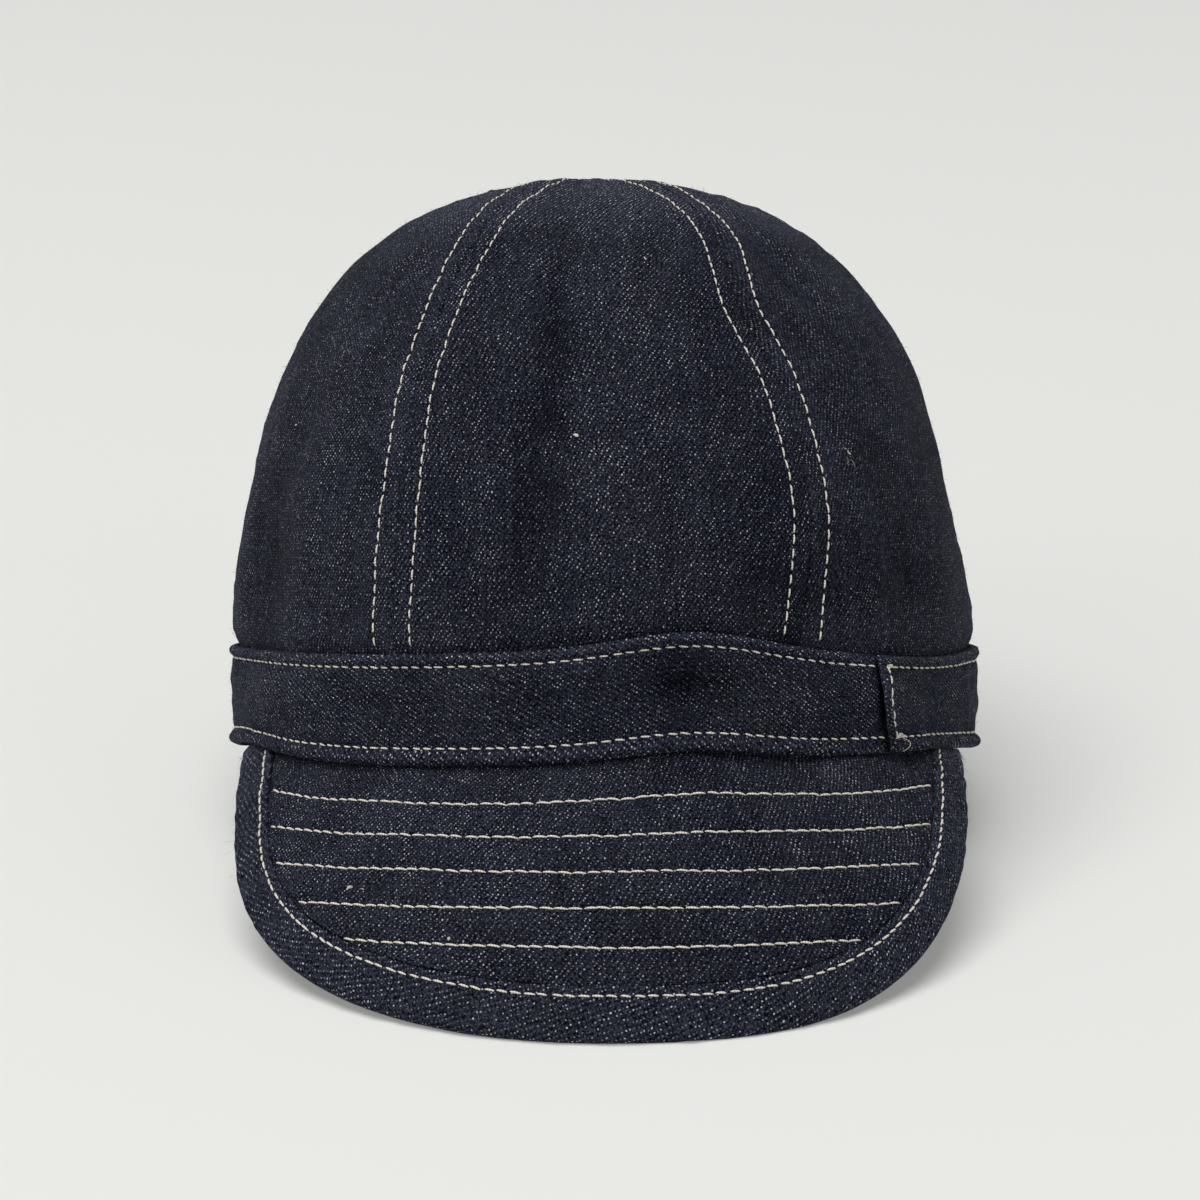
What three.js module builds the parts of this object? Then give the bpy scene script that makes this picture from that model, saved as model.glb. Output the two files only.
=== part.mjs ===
// Denim cap: a crown of six gores, a folded band round its foot and a short quilted peak.
//
// Lengths are in millimetres and angles in degrees. +X is the wearer's left, +Y the back and +Z up.
// The cap rests on a table at z = 0, on the back of its band and the front edge of its peak.
//
// Every face is worked out in the cap's own frame, where the rim is level: x to the wearer's left,
// back behind the middle of the head, and up above the rim. rest() leans that frame back and settles
// the cloth on the table. Azimuth 0 is the front of the head and +90 the wearer's left.

import * as THREE from 'three';

const DEGREE = Math.PI / 180;

// Crown: a dome on the head's oval
const CROWN_HALF_WIDTH = 86.2;
const CROWN_HALF_LENGTH = 99.0;
const CROWN_HEIGHT = 132.3;
const RISE_POWER = 2.82;
const ROUND_POWER = 2.5;
const TOP_BACK = 12.0;
const TOP_LEAN = -2.0;
const CROWN_WALL = 1.4;
const PIECE_GAP = 0.3;

// The crown's foot is drawn in under the band and swells out again above it
const TUCK = 1.6;
const TUCK_END = 27.0;

// Seams are pressed open, so the cloth is doubled on both sides of each
const SEAM_RIDGE = 0.45;
const SEAM_ALLOWANCE_WALL = 0.9;
const ALLOWANCE_START = 1.0;
const ALLOWANCE_END = 6.4;
const ALLOWANCE_FADE = 8.6;
const TOP_OPENING_RADIUS = 0.6;

// Each seam's azimuth, and how far the two front seams turn aside at some heights
const SEAMS = [-32.0, 31.0, 94.5, 148.3, 211.7, 265.5];
const SEAM_BOWS = [
  { seam: 0, height: 28, turn: -0.6, spread: 24 },
  { seam: 0, height: 122, turn: 2.3, spread: 26 },
  { seam: 1, height: 54, turn: 2.0, spread: 25 },
  { seam: 1, height: 101, turn: -3.2, spread: 12 },
];

// One gore from each seam to the next
const GORE_NAMES = [
  'crown_front',
  'crown_front_left',
  'crown_back_left',
  'crown_back',
  'crown_back_right',
  'crown_front_right',
];
const GORE_FOOT_HEIGHTS = [0.0, 12.0, 24.3, 27.0, 34.0];
const GORE_UPPER_ROWS = 12;
const GORE_MIDDLE_COLUMNS = 6;
const GORE_EDGE_SHARE = 0.375;

// Soft folds and dents: the middle of each, how far it stands out, and how far it spreads
const FOLDS = [
  { azimuth: -9, height: 78, out: -1.9, wide: 5.0, tall: 50 },
  { azimuth: -19, height: 60, out: 0.9, wide: 6.0, tall: 50 },
  { azimuth: 3, height: 62, out: 1.0, wide: 6.0, tall: 55 },
  { azimuth: 21, height: 52, out: -1.6, wide: 7.0, tall: 38 },
  { azimuth: 43, height: 110, out: -1.2, wide: 6.0, tall: 17 },
  { azimuth: 49, height: 52, out: -1.7, wide: 5.5, tall: 20 },
  { azimuth: 90, height: 62, out: -1.9, wide: 26.0, tall: 22 },
  { azimuth: -52, height: 52, out: 0.9, wide: 5.0, tall: 30 },
  { azimuth: -65, height: 50, out: -1.4, wide: 6.0, tall: 26 },
  { azimuth: -88, height: 36, out: 0.9, wide: 14.0, tall: 14 },
  { azimuth: 118, height: 55, out: -1.4, wide: 9.0, tall: 30 },
  { azimuth: -125, height: 62, out: -1.5, wide: 8.0, tall: 34 },
  { azimuth: 168, height: 48, out: -1.2, wide: 9.0, tall: 26 },
  { azimuth: 10, height: 12, out: -1.3, wide: 9.0, tall: 14 },
  { azimuth: 90, height: 20, out: 0.9, wide: 24.0, tall: 16 },
  { azimuth: -92, height: 20, out: 0.5, wide: 24.0, tall: 14 },
];

// Band: a strip with roped edges; its folded end covers its start
const BAND_HEIGHT = 24.2;
const BAND_WALL = 1.5;
const BAND_END = 43.5;
const BAND_OVERLAP = 8.0;
const BAND_STEP_FADE = 5.0;
const BAND_STATIONS = 86;
const BAND_END_STATIONS = 4;
const BAND_STEP_START = 0.5;
const BAND_FLATTENED = 2.5;

// Across the band: how proud each row stands, and how far its folded end turns aside
const BAND_ROWS = [
  { height: 0.0, proud: 0.35, turn: 2.5 },
  { height: 1.4, proud: 0.9, turn: 2.2 },
  { height: 3.0, proud: 0.0, turn: 1.6 },
  { height: 12.1, proud: 0.25, turn: -0.8 },
  { height: 21.2, proud: 0.0, turn: -0.1 },
  { height: 22.8, proud: 0.45, turn: 0.0 },
  { height: BAND_HEIGHT, proud: 0.1, turn: 0.0 },
];

// The band isn't level: how far its lower and upper edges rise, and over what spread
const BAND_WAVES = [
  { azimuth: -72, low: 2.9, high: -0.2, spread: 19.0 },
  { azimuth: -38, low: -1.2, high: -2.1, spread: 40.0 },
  { azimuth: 13, low: 2.5, high: 3.5, spread: 14.6 },
  { azimuth: 57.5, low: 1.5, high: -3.0, spread: 26.5 },
];
const WAVE_END_HEIGHT = 72.0;
const WAVE_END_REACH = 38.0;

// Peak: leaves the foot at one slope and ends at a steeper one
const PEAK_LENGTH = 70.0;
const PEAK_START_SLOPE = 45;
const PEAK_END_SLOPE = 70;
const PEAK_DROP = 57.3;
const PEAK_WALL = 2.2;
const PEAK_SEAT = 0.35;
const PEAK_SPREAD = 70.5;
const PEAK_COLUMNS = 37;
const PEAK_CROWDING = 0.6;

// Outline of the peak seen from the front, for each side of the wearer: how wide it is, and the
// powers that make its side and its front edge fuller
const PEAK_SIDES = {
  right: { halfWidth: 82.4, sidePower: 2.1, frontPower: 4.0 },
  left: { halfWidth: 81.4, sidePower: 3.2, frontPower: 2.65 },
};

// Quilting: rows of stitches draw the peak in, and the cloth puffs up between them. Each row has its
// reach at the middle of the peak, and how much more it reaches at the quilt's side
const QUILT_ROWS = [
  { reach: 11.8, sideways: -1.5 },
  { reach: 20.9, sideways: -1.1 },
  { reach: 29.8, sideways: -0.3 },
  { reach: 38.5, sideways: 1.0 },
  { reach: 47.6, sideways: -2.6 },
];
const QUILT_SIDE = 60;
const QUILT_DEPTH = 0.5;
const QUILT_END = 52.6;

// Binding: a strip folded over the peak's outer edge. Its upper face stands proud of the peak, and
// inside the fold the peak's edge is thinner and stops short of the outline
const BINDING_WIDTH = 11.7;
const BINDING_SIDE_SHARE = 0.69;
const BINDING_WALL = 1.0;
const BINDING_START = 1.0;
const BINDING_END_COLUMNS = 2;
const PEAK_EDGE_RELIEF = 0.4;
const PEAK_STEP_WIDTH = 0.5;
const PEAK_EDGE_INSET = 1.7;
const FOLD_CORNER = 0.5;

// Resting on the table
const LEAN = 17;
const SETTLE_ROUNDING = 6.0;
const SETTLE_FOOT = 25.0;
const SETTLE_TOP = 110.0;
const PEAK_EDGE_PRESSED = 0.35;
const FOOTPRINT_MIDDLE = -17.0;

const DENIM = new THREE.MeshStandardMaterial({ color: 0x2b2d35, roughness: 0.95, metalness: 0 });
DENIM.name = 'denim';

// Small functions

const sine = (angle) => Math.sin(angle * DEGREE);
const cosine = (angle) => Math.cos(angle * DEGREE);
const clamp = (value) => Math.min(1, Math.max(0, value));
const mix = (a, b, share) => a + (b - a) * share;
const turnBetween = (a, b) => ((a - b + 540) % 360) - 180;

function ease(from, to, value) {
  const share = clamp((value - from) / (to - from));
  return share * share * (3 - 2 * share);
}

function bell(distance, spread) {
  return Math.exp(-((distance / spread) ** 2));
}

// Crown surface

function climbAt(height) {
  return Math.asin((height / CROWN_HEIGHT) ** (RISE_POWER / 2)) / DEGREE;
}

function heightAt(climb) {
  return CROWN_HEIGHT * sine(climb) ** (2 / RISE_POWER);
}

function roundAt(climb) {
  return Math.max(0, cosine(climb)) ** (2 / ROUND_POWER);
}

function foldsAt(azimuth, height) {
  let out = 0;
  for (const fold of FOLDS) {
    const sideways = bell(turnBetween(azimuth, fold.azimuth), fold.wide);
    out += fold.out * sideways * bell(height - fold.height, fold.tall);
  }
  return out;
}

function edgeRise(azimuth, edge) {
  let rise = 0;
  for (const wave of BAND_WAVES) {
    rise += wave[edge] * bell(turnBetween(azimuth, wave.azimuth), wave.spread);
  }
  return rise;
}

function bandRise(azimuth, height) {
  const share = clamp(height / BAND_HEIGHT);
  const rise = mix(edgeRise(azimuth, 'low'), edgeRise(azimuth, 'high'), share);
  return rise * (1 - ease(BAND_HEIGHT, WAVE_END_HEIGHT, height));
}

// A point that stands out from the crown's outer face by the given distance
function crownPoint(azimuth, climb, distance) {
  const round = roundAt(climb);
  const height = heightAt(climb);
  const upShare = height / CROWN_HEIGHT;
  const steep = ROUND_POWER * round ** (ROUND_POWER - 1);
  const normal = new THREE.Vector3(
    (steep * sine(azimuth)) / CROWN_HALF_WIDTH,
    (-steep * cosine(azimuth)) / CROWN_HALF_LENGTH,
    (RISE_POWER * upShare ** (RISE_POWER - 1)) / CROWN_HEIGHT,
  ).normalize();
  const tuck = TUCK * (1 - ease(BAND_HEIGHT, TUCK_END, height));
  return new THREE.Vector3(
    CROWN_HALF_WIDTH * round * sine(azimuth) + TOP_LEAN * upShare ** 2,
    -CROWN_HALF_LENGTH * round * cosine(azimuth) + TOP_BACK * upShare ** 2,
    height + bandRise(azimuth, height),
  ).addScaledVector(normal, distance - tuck + foldsAt(azimuth, height));
}

// Peak surface

function peakSlope(reach) {
  return mix(PEAK_START_SLOPE, PEAK_END_SLOPE, reach / PEAK_LENGTH);
}

// A point at a distance from the foot along the peak, standing off its upper face
function peakPoint(azimuth, reach, distance) {
  const bend = ((PEAK_END_SLOPE - PEAK_START_SLOPE) * DEGREE) / PEAK_LENGTH;
  const slope = peakSlope(reach);
  const out = (sine(slope) - sine(PEAK_START_SLOPE)) / bend + distance * sine(slope);
  const drop = (cosine(PEAK_START_SLOPE) - cosine(slope)) / bend - distance * cosine(slope);
  const halfWidth = CROWN_HALF_WIDTH - TUCK;
  const halfLength = CROWN_HALF_LENGTH - TUCK;
  const outward = new THREE.Vector2(
    sine(azimuth) / halfWidth,
    -cosine(azimuth) / halfLength,
  ).normalize();
  const rise = edgeRise(azimuth, 'low') * (1 - ease(0, WAVE_END_REACH, reach));
  return new THREE.Vector3(
    halfWidth * sine(azimuth) + outward.x * out,
    -halfLength * cosine(azimuth) + outward.y * out,
    rise - PEAK_SEAT - drop,
  );
}

// How far the peak reaches at an azimuth before it meets its outline, drawn in by an inset
function peakReach(azimuth, inset, sideInset) {
  const side = azimuth < 0 ? PEAK_SIDES.right : PEAK_SIDES.left;
  const halfWidth = side.halfWidth - inset * sideInset;
  const drop = PEAK_DROP - inset * sine(PEAK_END_SLOPE);
  const rise = edgeRise(azimuth, 'low');
  const outside = (reach) => {
    const point = peakPoint(azimuth, reach, 0);
    const level = rise * (1 - ease(0, WAVE_END_REACH, reach)) - PEAK_SEAT - point.z;
    const sideShare = (Math.abs(point.x) / halfWidth) ** side.sidePower;
    const frontShare = (Math.max(0, level) / drop) ** side.frontPower;
    return sideShare + frontShare > 1;
  };
  let low = 0;
  let high = PEAK_LENGTH * 1.2;
  if (outside(low)) {
    return 0;
  }
  while (high - low > 0.001) {
    const middle = (low + high) / 2;
    if (outside(middle)) {
      high = middle;
    } else {
      low = middle;
    }
  }
  return low;
}

// Resting pose

function leaned(point) {
  return {
    back: point.y * cosine(LEAN) + point.z * sine(LEAN),
    up: point.z * cosine(LEAN) - point.y * sine(LEAN),
  };
}

// The folded front edge of the peak hangs lowest, so it says how high the rim stands
const LOWEST_CORNER = peakPoint(0, peakReach(0, 0, 1) - FOLD_CORNER, -PEAK_WALL - FOLD_CORNER);
const RIM_RISE = -leaned(LOWEST_CORNER).up - PEAK_EDGE_PRESSED;

// Leans a point back and lays what would sink into the table on it
function rest(point) {
  const place = leaned(point);
  const rim = RIM_RISE - point.y * sine(LEAN);
  let settledRim = Math.max(0, rim);
  if (Math.abs(rim) < SETTLE_ROUNDING) {
    settledRim = (rim + SETTLE_ROUNDING) ** 2 / (4 * SETTLE_ROUNDING);
  }
  const share = 1 - ease(SETTLE_FOOT, SETTLE_TOP, point.z);
  const up = RIM_RISE + place.up + (settledRim - rim) * share;
  return new THREE.Vector3(point.x, place.back, Math.max(0, up));
}

// A closed sheet of cloth: point(row, column, face) gives its outer (0) and inner (1) face,
// and walls join the two round the edge. Points that coincide are merged.
function cloth(name, rows, columns, point) {
  const positions = [];
  const found = new Map();
  const index = new Map();
  for (let face = 0; face < 2; face += 1) {
    for (let row = 0; row < rows; row += 1) {
      for (let column = 0; column < columns; column += 1) {
        const place = rest(point(row, column, face));
        const key = `${face}:${place.toArray().map((value) => value.toFixed(3))}`;
        if (!found.has(key)) {
          found.set(key, positions.length / 3);
          positions.push(...place.toArray());
        }
        index.set(`${face}:${row}:${column}`, found.get(key));
      }
    }
  }

  const triangles = [];
  const corner = (face, row, column) => index.get(`${face}:${row}:${column}`);
  const triangle = (a, b, c) => {
    if (a !== b && b !== c && c !== a) {
      triangles.push(a, b, c);
    }
  };
  const quad = (a, b, c, d) => {
    triangle(a, b, c);
    triangle(a, c, d);
  };
  for (let row = 0; row + 1 < rows; row += 1) {
    for (let column = 0; column + 1 < columns; column += 1) {
      const outer = [
        corner(0, row, column),
        corner(0, row, column + 1),
        corner(0, row + 1, column + 1),
        corner(0, row + 1, column),
      ];
      const inner = [
        corner(1, row, column),
        corner(1, row + 1, column),
        corner(1, row + 1, column + 1),
        corner(1, row, column + 1),
      ];
      quad(...outer);
      quad(...inner);
    }
  }
  const lastRow = rows - 1;
  const lastColumn = columns - 1;
  for (let column = 0; column < lastColumn; column += 1) {
    quad(corner(1, 0, column), corner(1, 0, column + 1), corner(0, 0, column + 1), corner(0, 0, column));
    quad(
      corner(0, lastRow, column),
      corner(0, lastRow, column + 1),
      corner(1, lastRow, column + 1),
      corner(1, lastRow, column),
    );
  }
  for (let row = 0; row < lastRow; row += 1) {
    quad(corner(0, row, 0), corner(0, row + 1, 0), corner(1, row + 1, 0), corner(1, row, 0));
    quad(
      corner(1, row, lastColumn),
      corner(1, row + 1, lastColumn),
      corner(0, row + 1, lastColumn),
      corner(0, row, lastColumn),
    );
  }

  const geometry = new THREE.BufferGeometry();
  geometry.setAttribute('position', new THREE.Float32BufferAttribute(positions, 3));
  geometry.setIndex(triangles);
  geometry.computeVertexNormals();
  const mesh = new THREE.Mesh(geometry, DENIM.clone());
  mesh.name = name;
  return mesh;
}

// Crown gores

function millimetresPerDegree(azimuth, climb) {
  const sideways = CROWN_HALF_WIDTH * cosine(azimuth);
  const lengthways = CROWN_HALF_LENGTH * sine(azimuth);
  return Math.hypot(sideways, lengthways) * roundAt(climb) * DEGREE;
}

// The seam after the last is the first one, a whole turn on
function seamAzimuth(seam, climb) {
  const place = seam % SEAMS.length;
  let azimuth = SEAMS[place] + (seam - place) * (360 / SEAMS.length);
  for (const bow of SEAM_BOWS) {
    if (bow.seam === place) {
      azimuth += bow.turn * bell(heightAt(climb) - bow.height, bow.spread);
    }
  }
  return azimuth;
}

function goreClimbs() {
  const climbs = GORE_FOOT_HEIGHTS.map(climbAt);
  const tip = (TOP_OPENING_RADIUS / CROWN_HALF_WIDTH) ** (ROUND_POWER / 2);
  const last = Math.acos(tip) / DEGREE;
  const first = climbs[climbs.length - 1];
  for (let row = 1; row <= GORE_UPPER_ROWS; row += 1) {
    climbs.push(mix(first, last, row / GORE_UPPER_ROWS));
  }
  return climbs;
}

// Columns across a gore, as distances from its two seams: close together over the seam allowances
function goreColumns(width) {
  const edges = [0, ALLOWANCE_START, ALLOWANCE_END, ALLOWANCE_FADE];
  const last = edges.length - 1;
  const inFromSeam = edges.map((edge, place) => Math.min(edge, width * GORE_EDGE_SHARE * (place / last)));
  const first = inFromSeam[last];
  const columns = [...inFromSeam];
  for (let column = 1; column < GORE_MIDDLE_COLUMNS; column += 1) {
    columns.push(mix(first, width - first, column / GORE_MIDDLE_COLUMNS));
  }
  return columns.concat(inFromSeam.map((edge) => width - edge).reverse());
}

function gore(name, seam) {
  const climbs = goreClimbs();
  const layout = climbs.map((climb) => {
    const from = seamAzimuth(seam, climb);
    const to = seamAzimuth(seam + 1, climb);
    const middle = (from + to) / 2;
    const start = from + PIECE_GAP / 2 / millimetresPerDegree(from, climb);
    const end = to - PIECE_GAP / 2 / millimetresPerDegree(to, climb);
    const width = (end - start) * millimetresPerDegree(middle, climb);
    return { start, end, width, columns: goreColumns(width) };
  });
  return cloth(name, climbs.length, layout[0].columns.length, (row, column, face) => {
    const { start, end, width, columns } = layout[row];
    const along = columns[column];
    const azimuth = mix(start, end, along / width);
    const fromSeam = Math.min(along, width - along);
    const allowance = 1 - ease(ALLOWANCE_END, ALLOWANCE_FADE, fromSeam);
    const aboveBand = ease(BAND_HEIGHT, GORE_FOOT_HEIGHTS[3], heightAt(climbs[row]));
    const ridge = SEAM_RIDGE * allowance * aboveBand * ease(0, ALLOWANCE_START, fromSeam);
    const inner = -CROWN_WALL - SEAM_ALLOWANCE_WALL * allowance;
    return crownPoint(azimuth, climbs[row], face === 0 ? ridge : inner);
  });
}

// Band

function bandAzimuths() {
  const azimuths = [];
  const clear = BAND_OVERLAP + BAND_STEP_FADE;
  for (let station = 0; station < BAND_END_STATIONS * 2; station += 1) {
    azimuths.push(BAND_END + (clear * station) / (BAND_END_STATIONS * 2));
  }
  for (let station = 0; station <= BAND_STATIONS; station += 1) {
    azimuths.push(BAND_END + mix(clear, 360, station / BAND_STATIONS));
  }
  for (let station = 1; station <= BAND_END_STATIONS; station += 1) {
    azimuths.push(BAND_END + 360 + (BAND_OVERLAP * station) / BAND_END_STATIONS);
  }
  return azimuths;
}

function band() {
  const azimuths = bandAzimuths();
  const step = BAND_WALL + PIECE_GAP;
  return cloth('band', BAND_ROWS.length, azimuths.length, (row, column, face) => {
    const { height, proud, turn } = BAND_ROWS[row];
    const past = azimuths[column] - BAND_END;
    const onTop = 1 - ease(BAND_OVERLAP + BAND_STEP_START, BAND_OVERLAP + BAND_STEP_FADE, past);
    const uncovered = 1 - ease(360 - 2 * BAND_FLATTENED, 360 - BAND_FLATTENED, past);
    const azimuth = azimuths[column] + turn * onTop;
    const base = PIECE_GAP + step * onTop;
    const outer = base + BAND_WALL + proud * uncovered;
    return crownPoint(azimuth, climbAt(height), face === 0 ? outer : base);
  });
}

// Peak and binding

// Azimuths from the wearer's left to the right, closer together where the outline turns fastest
function peakAzimuths() {
  const azimuths = [];
  for (let column = 0; column < PEAK_COLUMNS; column += 1) {
    const share = 1 - (2 * column) / (PEAK_COLUMNS - 1);
    azimuths.push(PEAK_SPREAD * mix(share, sine(90 * share), PEAK_CROWDING));
  }
  return azimuths;
}

// The lines that the quilted face is drawn through at an azimuth: from the foot, each puff's crest
// and each row of stitches, with how far the row draws the face in
function quiltLines(azimuth) {
  const lines = [{ reach: 0, sink: 0 }];
  let last = 0;
  for (const row of QUILT_ROWS) {
    const reach = row.reach + row.sideways * (azimuth / QUILT_SIDE) ** 2;
    lines.push({ reach: (last + reach) / 2, sink: 0 });
    lines.push({ reach, sink: QUILT_DEPTH });
    last = reach;
  }
  lines.push({ reach: QUILT_END, sink: 0 });
  return lines;
}

// The peak stops short of the binding's ends. Its quilted face runs up to a shallow step, and
// beyond it the edge is thinner, so that the binding folds over it.
function peak() {
  const azimuths = peakAzimuths().slice(BINDING_END_COLUMNS, -BINDING_END_COLUMNS);
  const edged = [0, 0.5, 1];
  const quilted = quiltLines(0).length;
  const rows = quilted + 1 + edged.length;
  return cloth('peak', rows, azimuths.length, (row, column, face) => {
    const azimuth = azimuths[column];
    const bound = peakReach(azimuth, BINDING_WIDTH, BINDING_SIDE_SHARE);
    const step = Math.max(0, bound - PEAK_STEP_WIDTH);
    if (row <= quilted) {
      const line = quiltLines(azimuth)[row] ?? { reach: step, sink: 0 };
      const sink = line.reach < step ? line.sink : 0;
      return peakPoint(azimuth, Math.min(line.reach, step), face === 0 ? -sink : -PEAK_WALL);
    }
    const edge = peakReach(azimuth, PEAK_EDGE_INSET, 1);
    const reach = mix(step + PEAK_STEP_WIDTH, edge, edged[row - quilted - 1]);
    return peakPoint(azimuth, reach, face === 0 ? -PEAK_EDGE_RELIEF : PEAK_EDGE_RELIEF / 2 - PEAK_WALL);
  });
}

// Section of the binding from its upper edge round the fold to its lower edge:
// how far each point is from the fold, and how far off the peak's upper face
function bindingSection() {
  const top = BINDING_WALL - PEAK_EDGE_RELIEF + PIECE_GAP;
  const bottom = PEAK_EDGE_RELIEF / 2 - PEAK_WALL - PIECE_GAP - BINDING_WALL;
  const middle = (top + bottom) / 2;
  return {
    outer: [
      { share: 1.0, off: top },
      { share: 0.5, off: top },
      { back: 1.6, off: top },
      { back: FOLD_CORNER, off: mix(top, middle, 0.35) },
      { back: 0.0, off: middle },
      { back: FOLD_CORNER, off: mix(bottom, middle, 0.35) },
      { back: 1.6, off: bottom },
      { share: 0.5, off: bottom },
      { share: 1.0, off: bottom },
    ],
    inner: [
      { share: 1.0, off: top - BINDING_WALL },
      { share: 0.5, off: top - BINDING_WALL },
      { back: 1.7, off: top - BINDING_WALL },
      { back: 1.2, off: mix(top - BINDING_WALL, middle, 0.5) },
      { back: 1.0, off: middle },
      { back: 1.2, off: mix(bottom + BINDING_WALL, middle, 0.5) },
      { back: 1.7, off: bottom + BINDING_WALL },
      { share: 0.5, off: bottom + BINDING_WALL },
      { share: 1.0, off: bottom + BINDING_WALL },
    ],
  };
}

function binding() {
  const azimuths = peakAzimuths();
  const { outer, inner } = bindingSection();
  return cloth('peak_binding', outer.length, azimuths.length, (row, column, face) => {
    const azimuth = azimuths[column];
    const fold = peakReach(azimuth, 0, 1);
    const start = Math.max(BINDING_START, peakReach(azimuth, BINDING_WIDTH, BINDING_SIDE_SHARE));
    const width = fold - start;
    const { share, back, off } = face === 0 ? outer[row] : inner[row];
    const fromFold = share === undefined ? Math.min(back, width * back * 0.25) : share * width;
    return peakPoint(azimuth, fold - fromFold, off);
  });
}

const group = new THREE.Group();
for (let place = 0; place < GORE_NAMES.length; place += 1) {
  group.add(gore(GORE_NAMES[place], place));
}
group.add(band());
group.add(peak());
group.add(binding());
group.position.y = -FOOTPRINT_MIDDLE;

export default group;
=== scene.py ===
"""The looks of a denim cap: six-gore crown, folded band, quilted peak, topstitching and washed twill.

Shapes are worked out in millimetres in the cap's own frame, where the rim is level: x towards the
wearer's left, back behind the middle of the head, and up above the rim. rest() leans that frame back
and settles the cloth on the table, and meshes are made in metres. Azimuth 0 is the front of the head
and +90 the wearer's left. Angles are in degrees.
"""

from math import radians

import bpy
import numpy as np
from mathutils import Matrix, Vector


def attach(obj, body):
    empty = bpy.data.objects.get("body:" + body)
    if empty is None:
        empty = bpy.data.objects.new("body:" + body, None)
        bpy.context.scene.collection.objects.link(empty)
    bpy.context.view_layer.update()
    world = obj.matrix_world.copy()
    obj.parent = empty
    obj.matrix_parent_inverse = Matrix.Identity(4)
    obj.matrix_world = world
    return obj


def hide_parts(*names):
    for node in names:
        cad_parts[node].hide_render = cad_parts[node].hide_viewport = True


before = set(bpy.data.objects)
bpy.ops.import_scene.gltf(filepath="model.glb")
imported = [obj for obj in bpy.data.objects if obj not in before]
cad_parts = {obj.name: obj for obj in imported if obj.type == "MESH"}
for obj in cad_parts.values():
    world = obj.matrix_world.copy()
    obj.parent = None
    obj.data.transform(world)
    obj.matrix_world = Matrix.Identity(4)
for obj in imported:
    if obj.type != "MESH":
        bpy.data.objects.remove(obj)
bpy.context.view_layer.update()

METRES = 0.001

# Crown
CROWN_HALF_WIDTH = 86.2
CROWN_HALF_LENGTH = 99.0
CROWN_HEIGHT = 132.3
RISE_POWER = 2.82
ROUND_POWER = 2.5
TOP_BACK = 12.0
TOP_LEAN = -2.0
CROWN_WALL = 1.4
PIECE_GAP = 0.3
TUCK = 1.6
TUCK_END = 27.0

# Seams and their topstitching
SEAMS = [-32.0, 31.0, 94.5, 148.3, 211.7, 265.5]
SEAM_BOWS = [
    # seam, height, how far it turns aside there, spread
    (0, 28, -0.6, 24),
    (0, 122, 2.3, 26),
    (1, 54, 2.0, 25),
    (1, 101, -3.2, 12),
    (1, 24, -0.8, 7),
]
GORES = [
    "crown_front",
    "crown_front_left",
    "crown_back_left",
    "crown_back",
    "crown_back_right",
    "crown_front_right",
]
SEAM_RIDGE = 0.5
SEAM_GROOVE = 0.55
SEAM_GROOVE_WIDTH = 0.4
ALLOWANCE_WALL = 0.9
TOPSTITCH_OFFSET = 4.9

# How much a fuzz of loose fibres greys each piece, gores in order: partly the fibres' own grey, partly
# painted sheen, which greys the gores away from the front, the top and the sides of band and binding
# more
GORE_HAZE_AND_SHEEN = [0.1, 0.45, 0.6, 0.5, 0.6, 0.4]
TOP_SHEEN = 0.3
BAND_HAZE = 0.2
BAND_SIDE_SHEEN = 0.5
PEAK_HAZE = 0.2
BINDING_HAZE_AND_SHEEN = 0.3

# The band is darker at its middle, partly painted shade of its dents and partly less rubbing: how much,
# azimuth and spread, and from where past its hems
BAND_DARK = 0.15
BAND_DARK_AZIMUTH = 6
BAND_DARK_SPREAD = 36
BAND_DARK_FADE = (2.8, 6)

# How much paler a millimetre of bulge, and darker a millimetre of hollow, is coloured: partly wear,
# partly painted light on bulges and painted shade in hollows
FOLD_WEAR_AND_SHADE = 0.23

# Painted highlight: the top of the crown is coloured paler
TOP_HIGHLIGHT = 1.5

# Soft folds and dents of the crown and band
FOLDS = [
    # azimuth, height, out, spread sideways (degrees), spread upwards (mm)
    (-9.0, 115, -0.8, 5.0, 7),
    (-8.5, 104, -1.4, 3.8, 16),
    (-8.4, 80, -2.2, 3.8, 20),
    (-11.2, 50, -2.3, 4.4, 18),
    (-13.6, 38, -1.0, 4.0, 8),
    (-21.5, 54, -0.9, 4.0, 18),
    (1, 70, 1.0, 6.0, 46),
    (21, 60, -0.8, 6.0, 34),
    (30, 33, -1.9, 9.0, 12),
    (29, 100, -1.9, 4.5, 14),
    (43, 110, -1.2, 6.0, 17),
    (52, 46, -2.0, 7.5, 18),
    (90, 62, -1.9, 26.0, 22),
    (-52, 52, 0.9, 5.0, 30),
    (-66, 44, -2.7, 7.5, 20),
    (-88, 36, 0.9, 14.0, 14),
    (118, 55, -1.4, 9.0, 30),
    (-125, 62, -1.5, 8.0, 34),
    (168, 48, -1.2, 9.0, 26),
    (8.0, 14.0, -2.4, 5.5, 5.0),
    (15.0, 11.5, -1.8, 4.5, 5.0),
    (-33.5, 97, -0.8, 3.5, 16),
    (37.5, 90, -0.9, 4.0, 9),
    (-59, 73, -0.9, 6.0, 11),
    (35, 40, -0.8, 4.0, 9),
    (-58, 12.5, 1.8, 13.0, 9),
    (43, 12.5, 1.7, 4.5, 9),
    (90, 20, 0.9, 24.0, 16),
    (-92, 20, 0.5, 24.0, 14),
]
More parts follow.
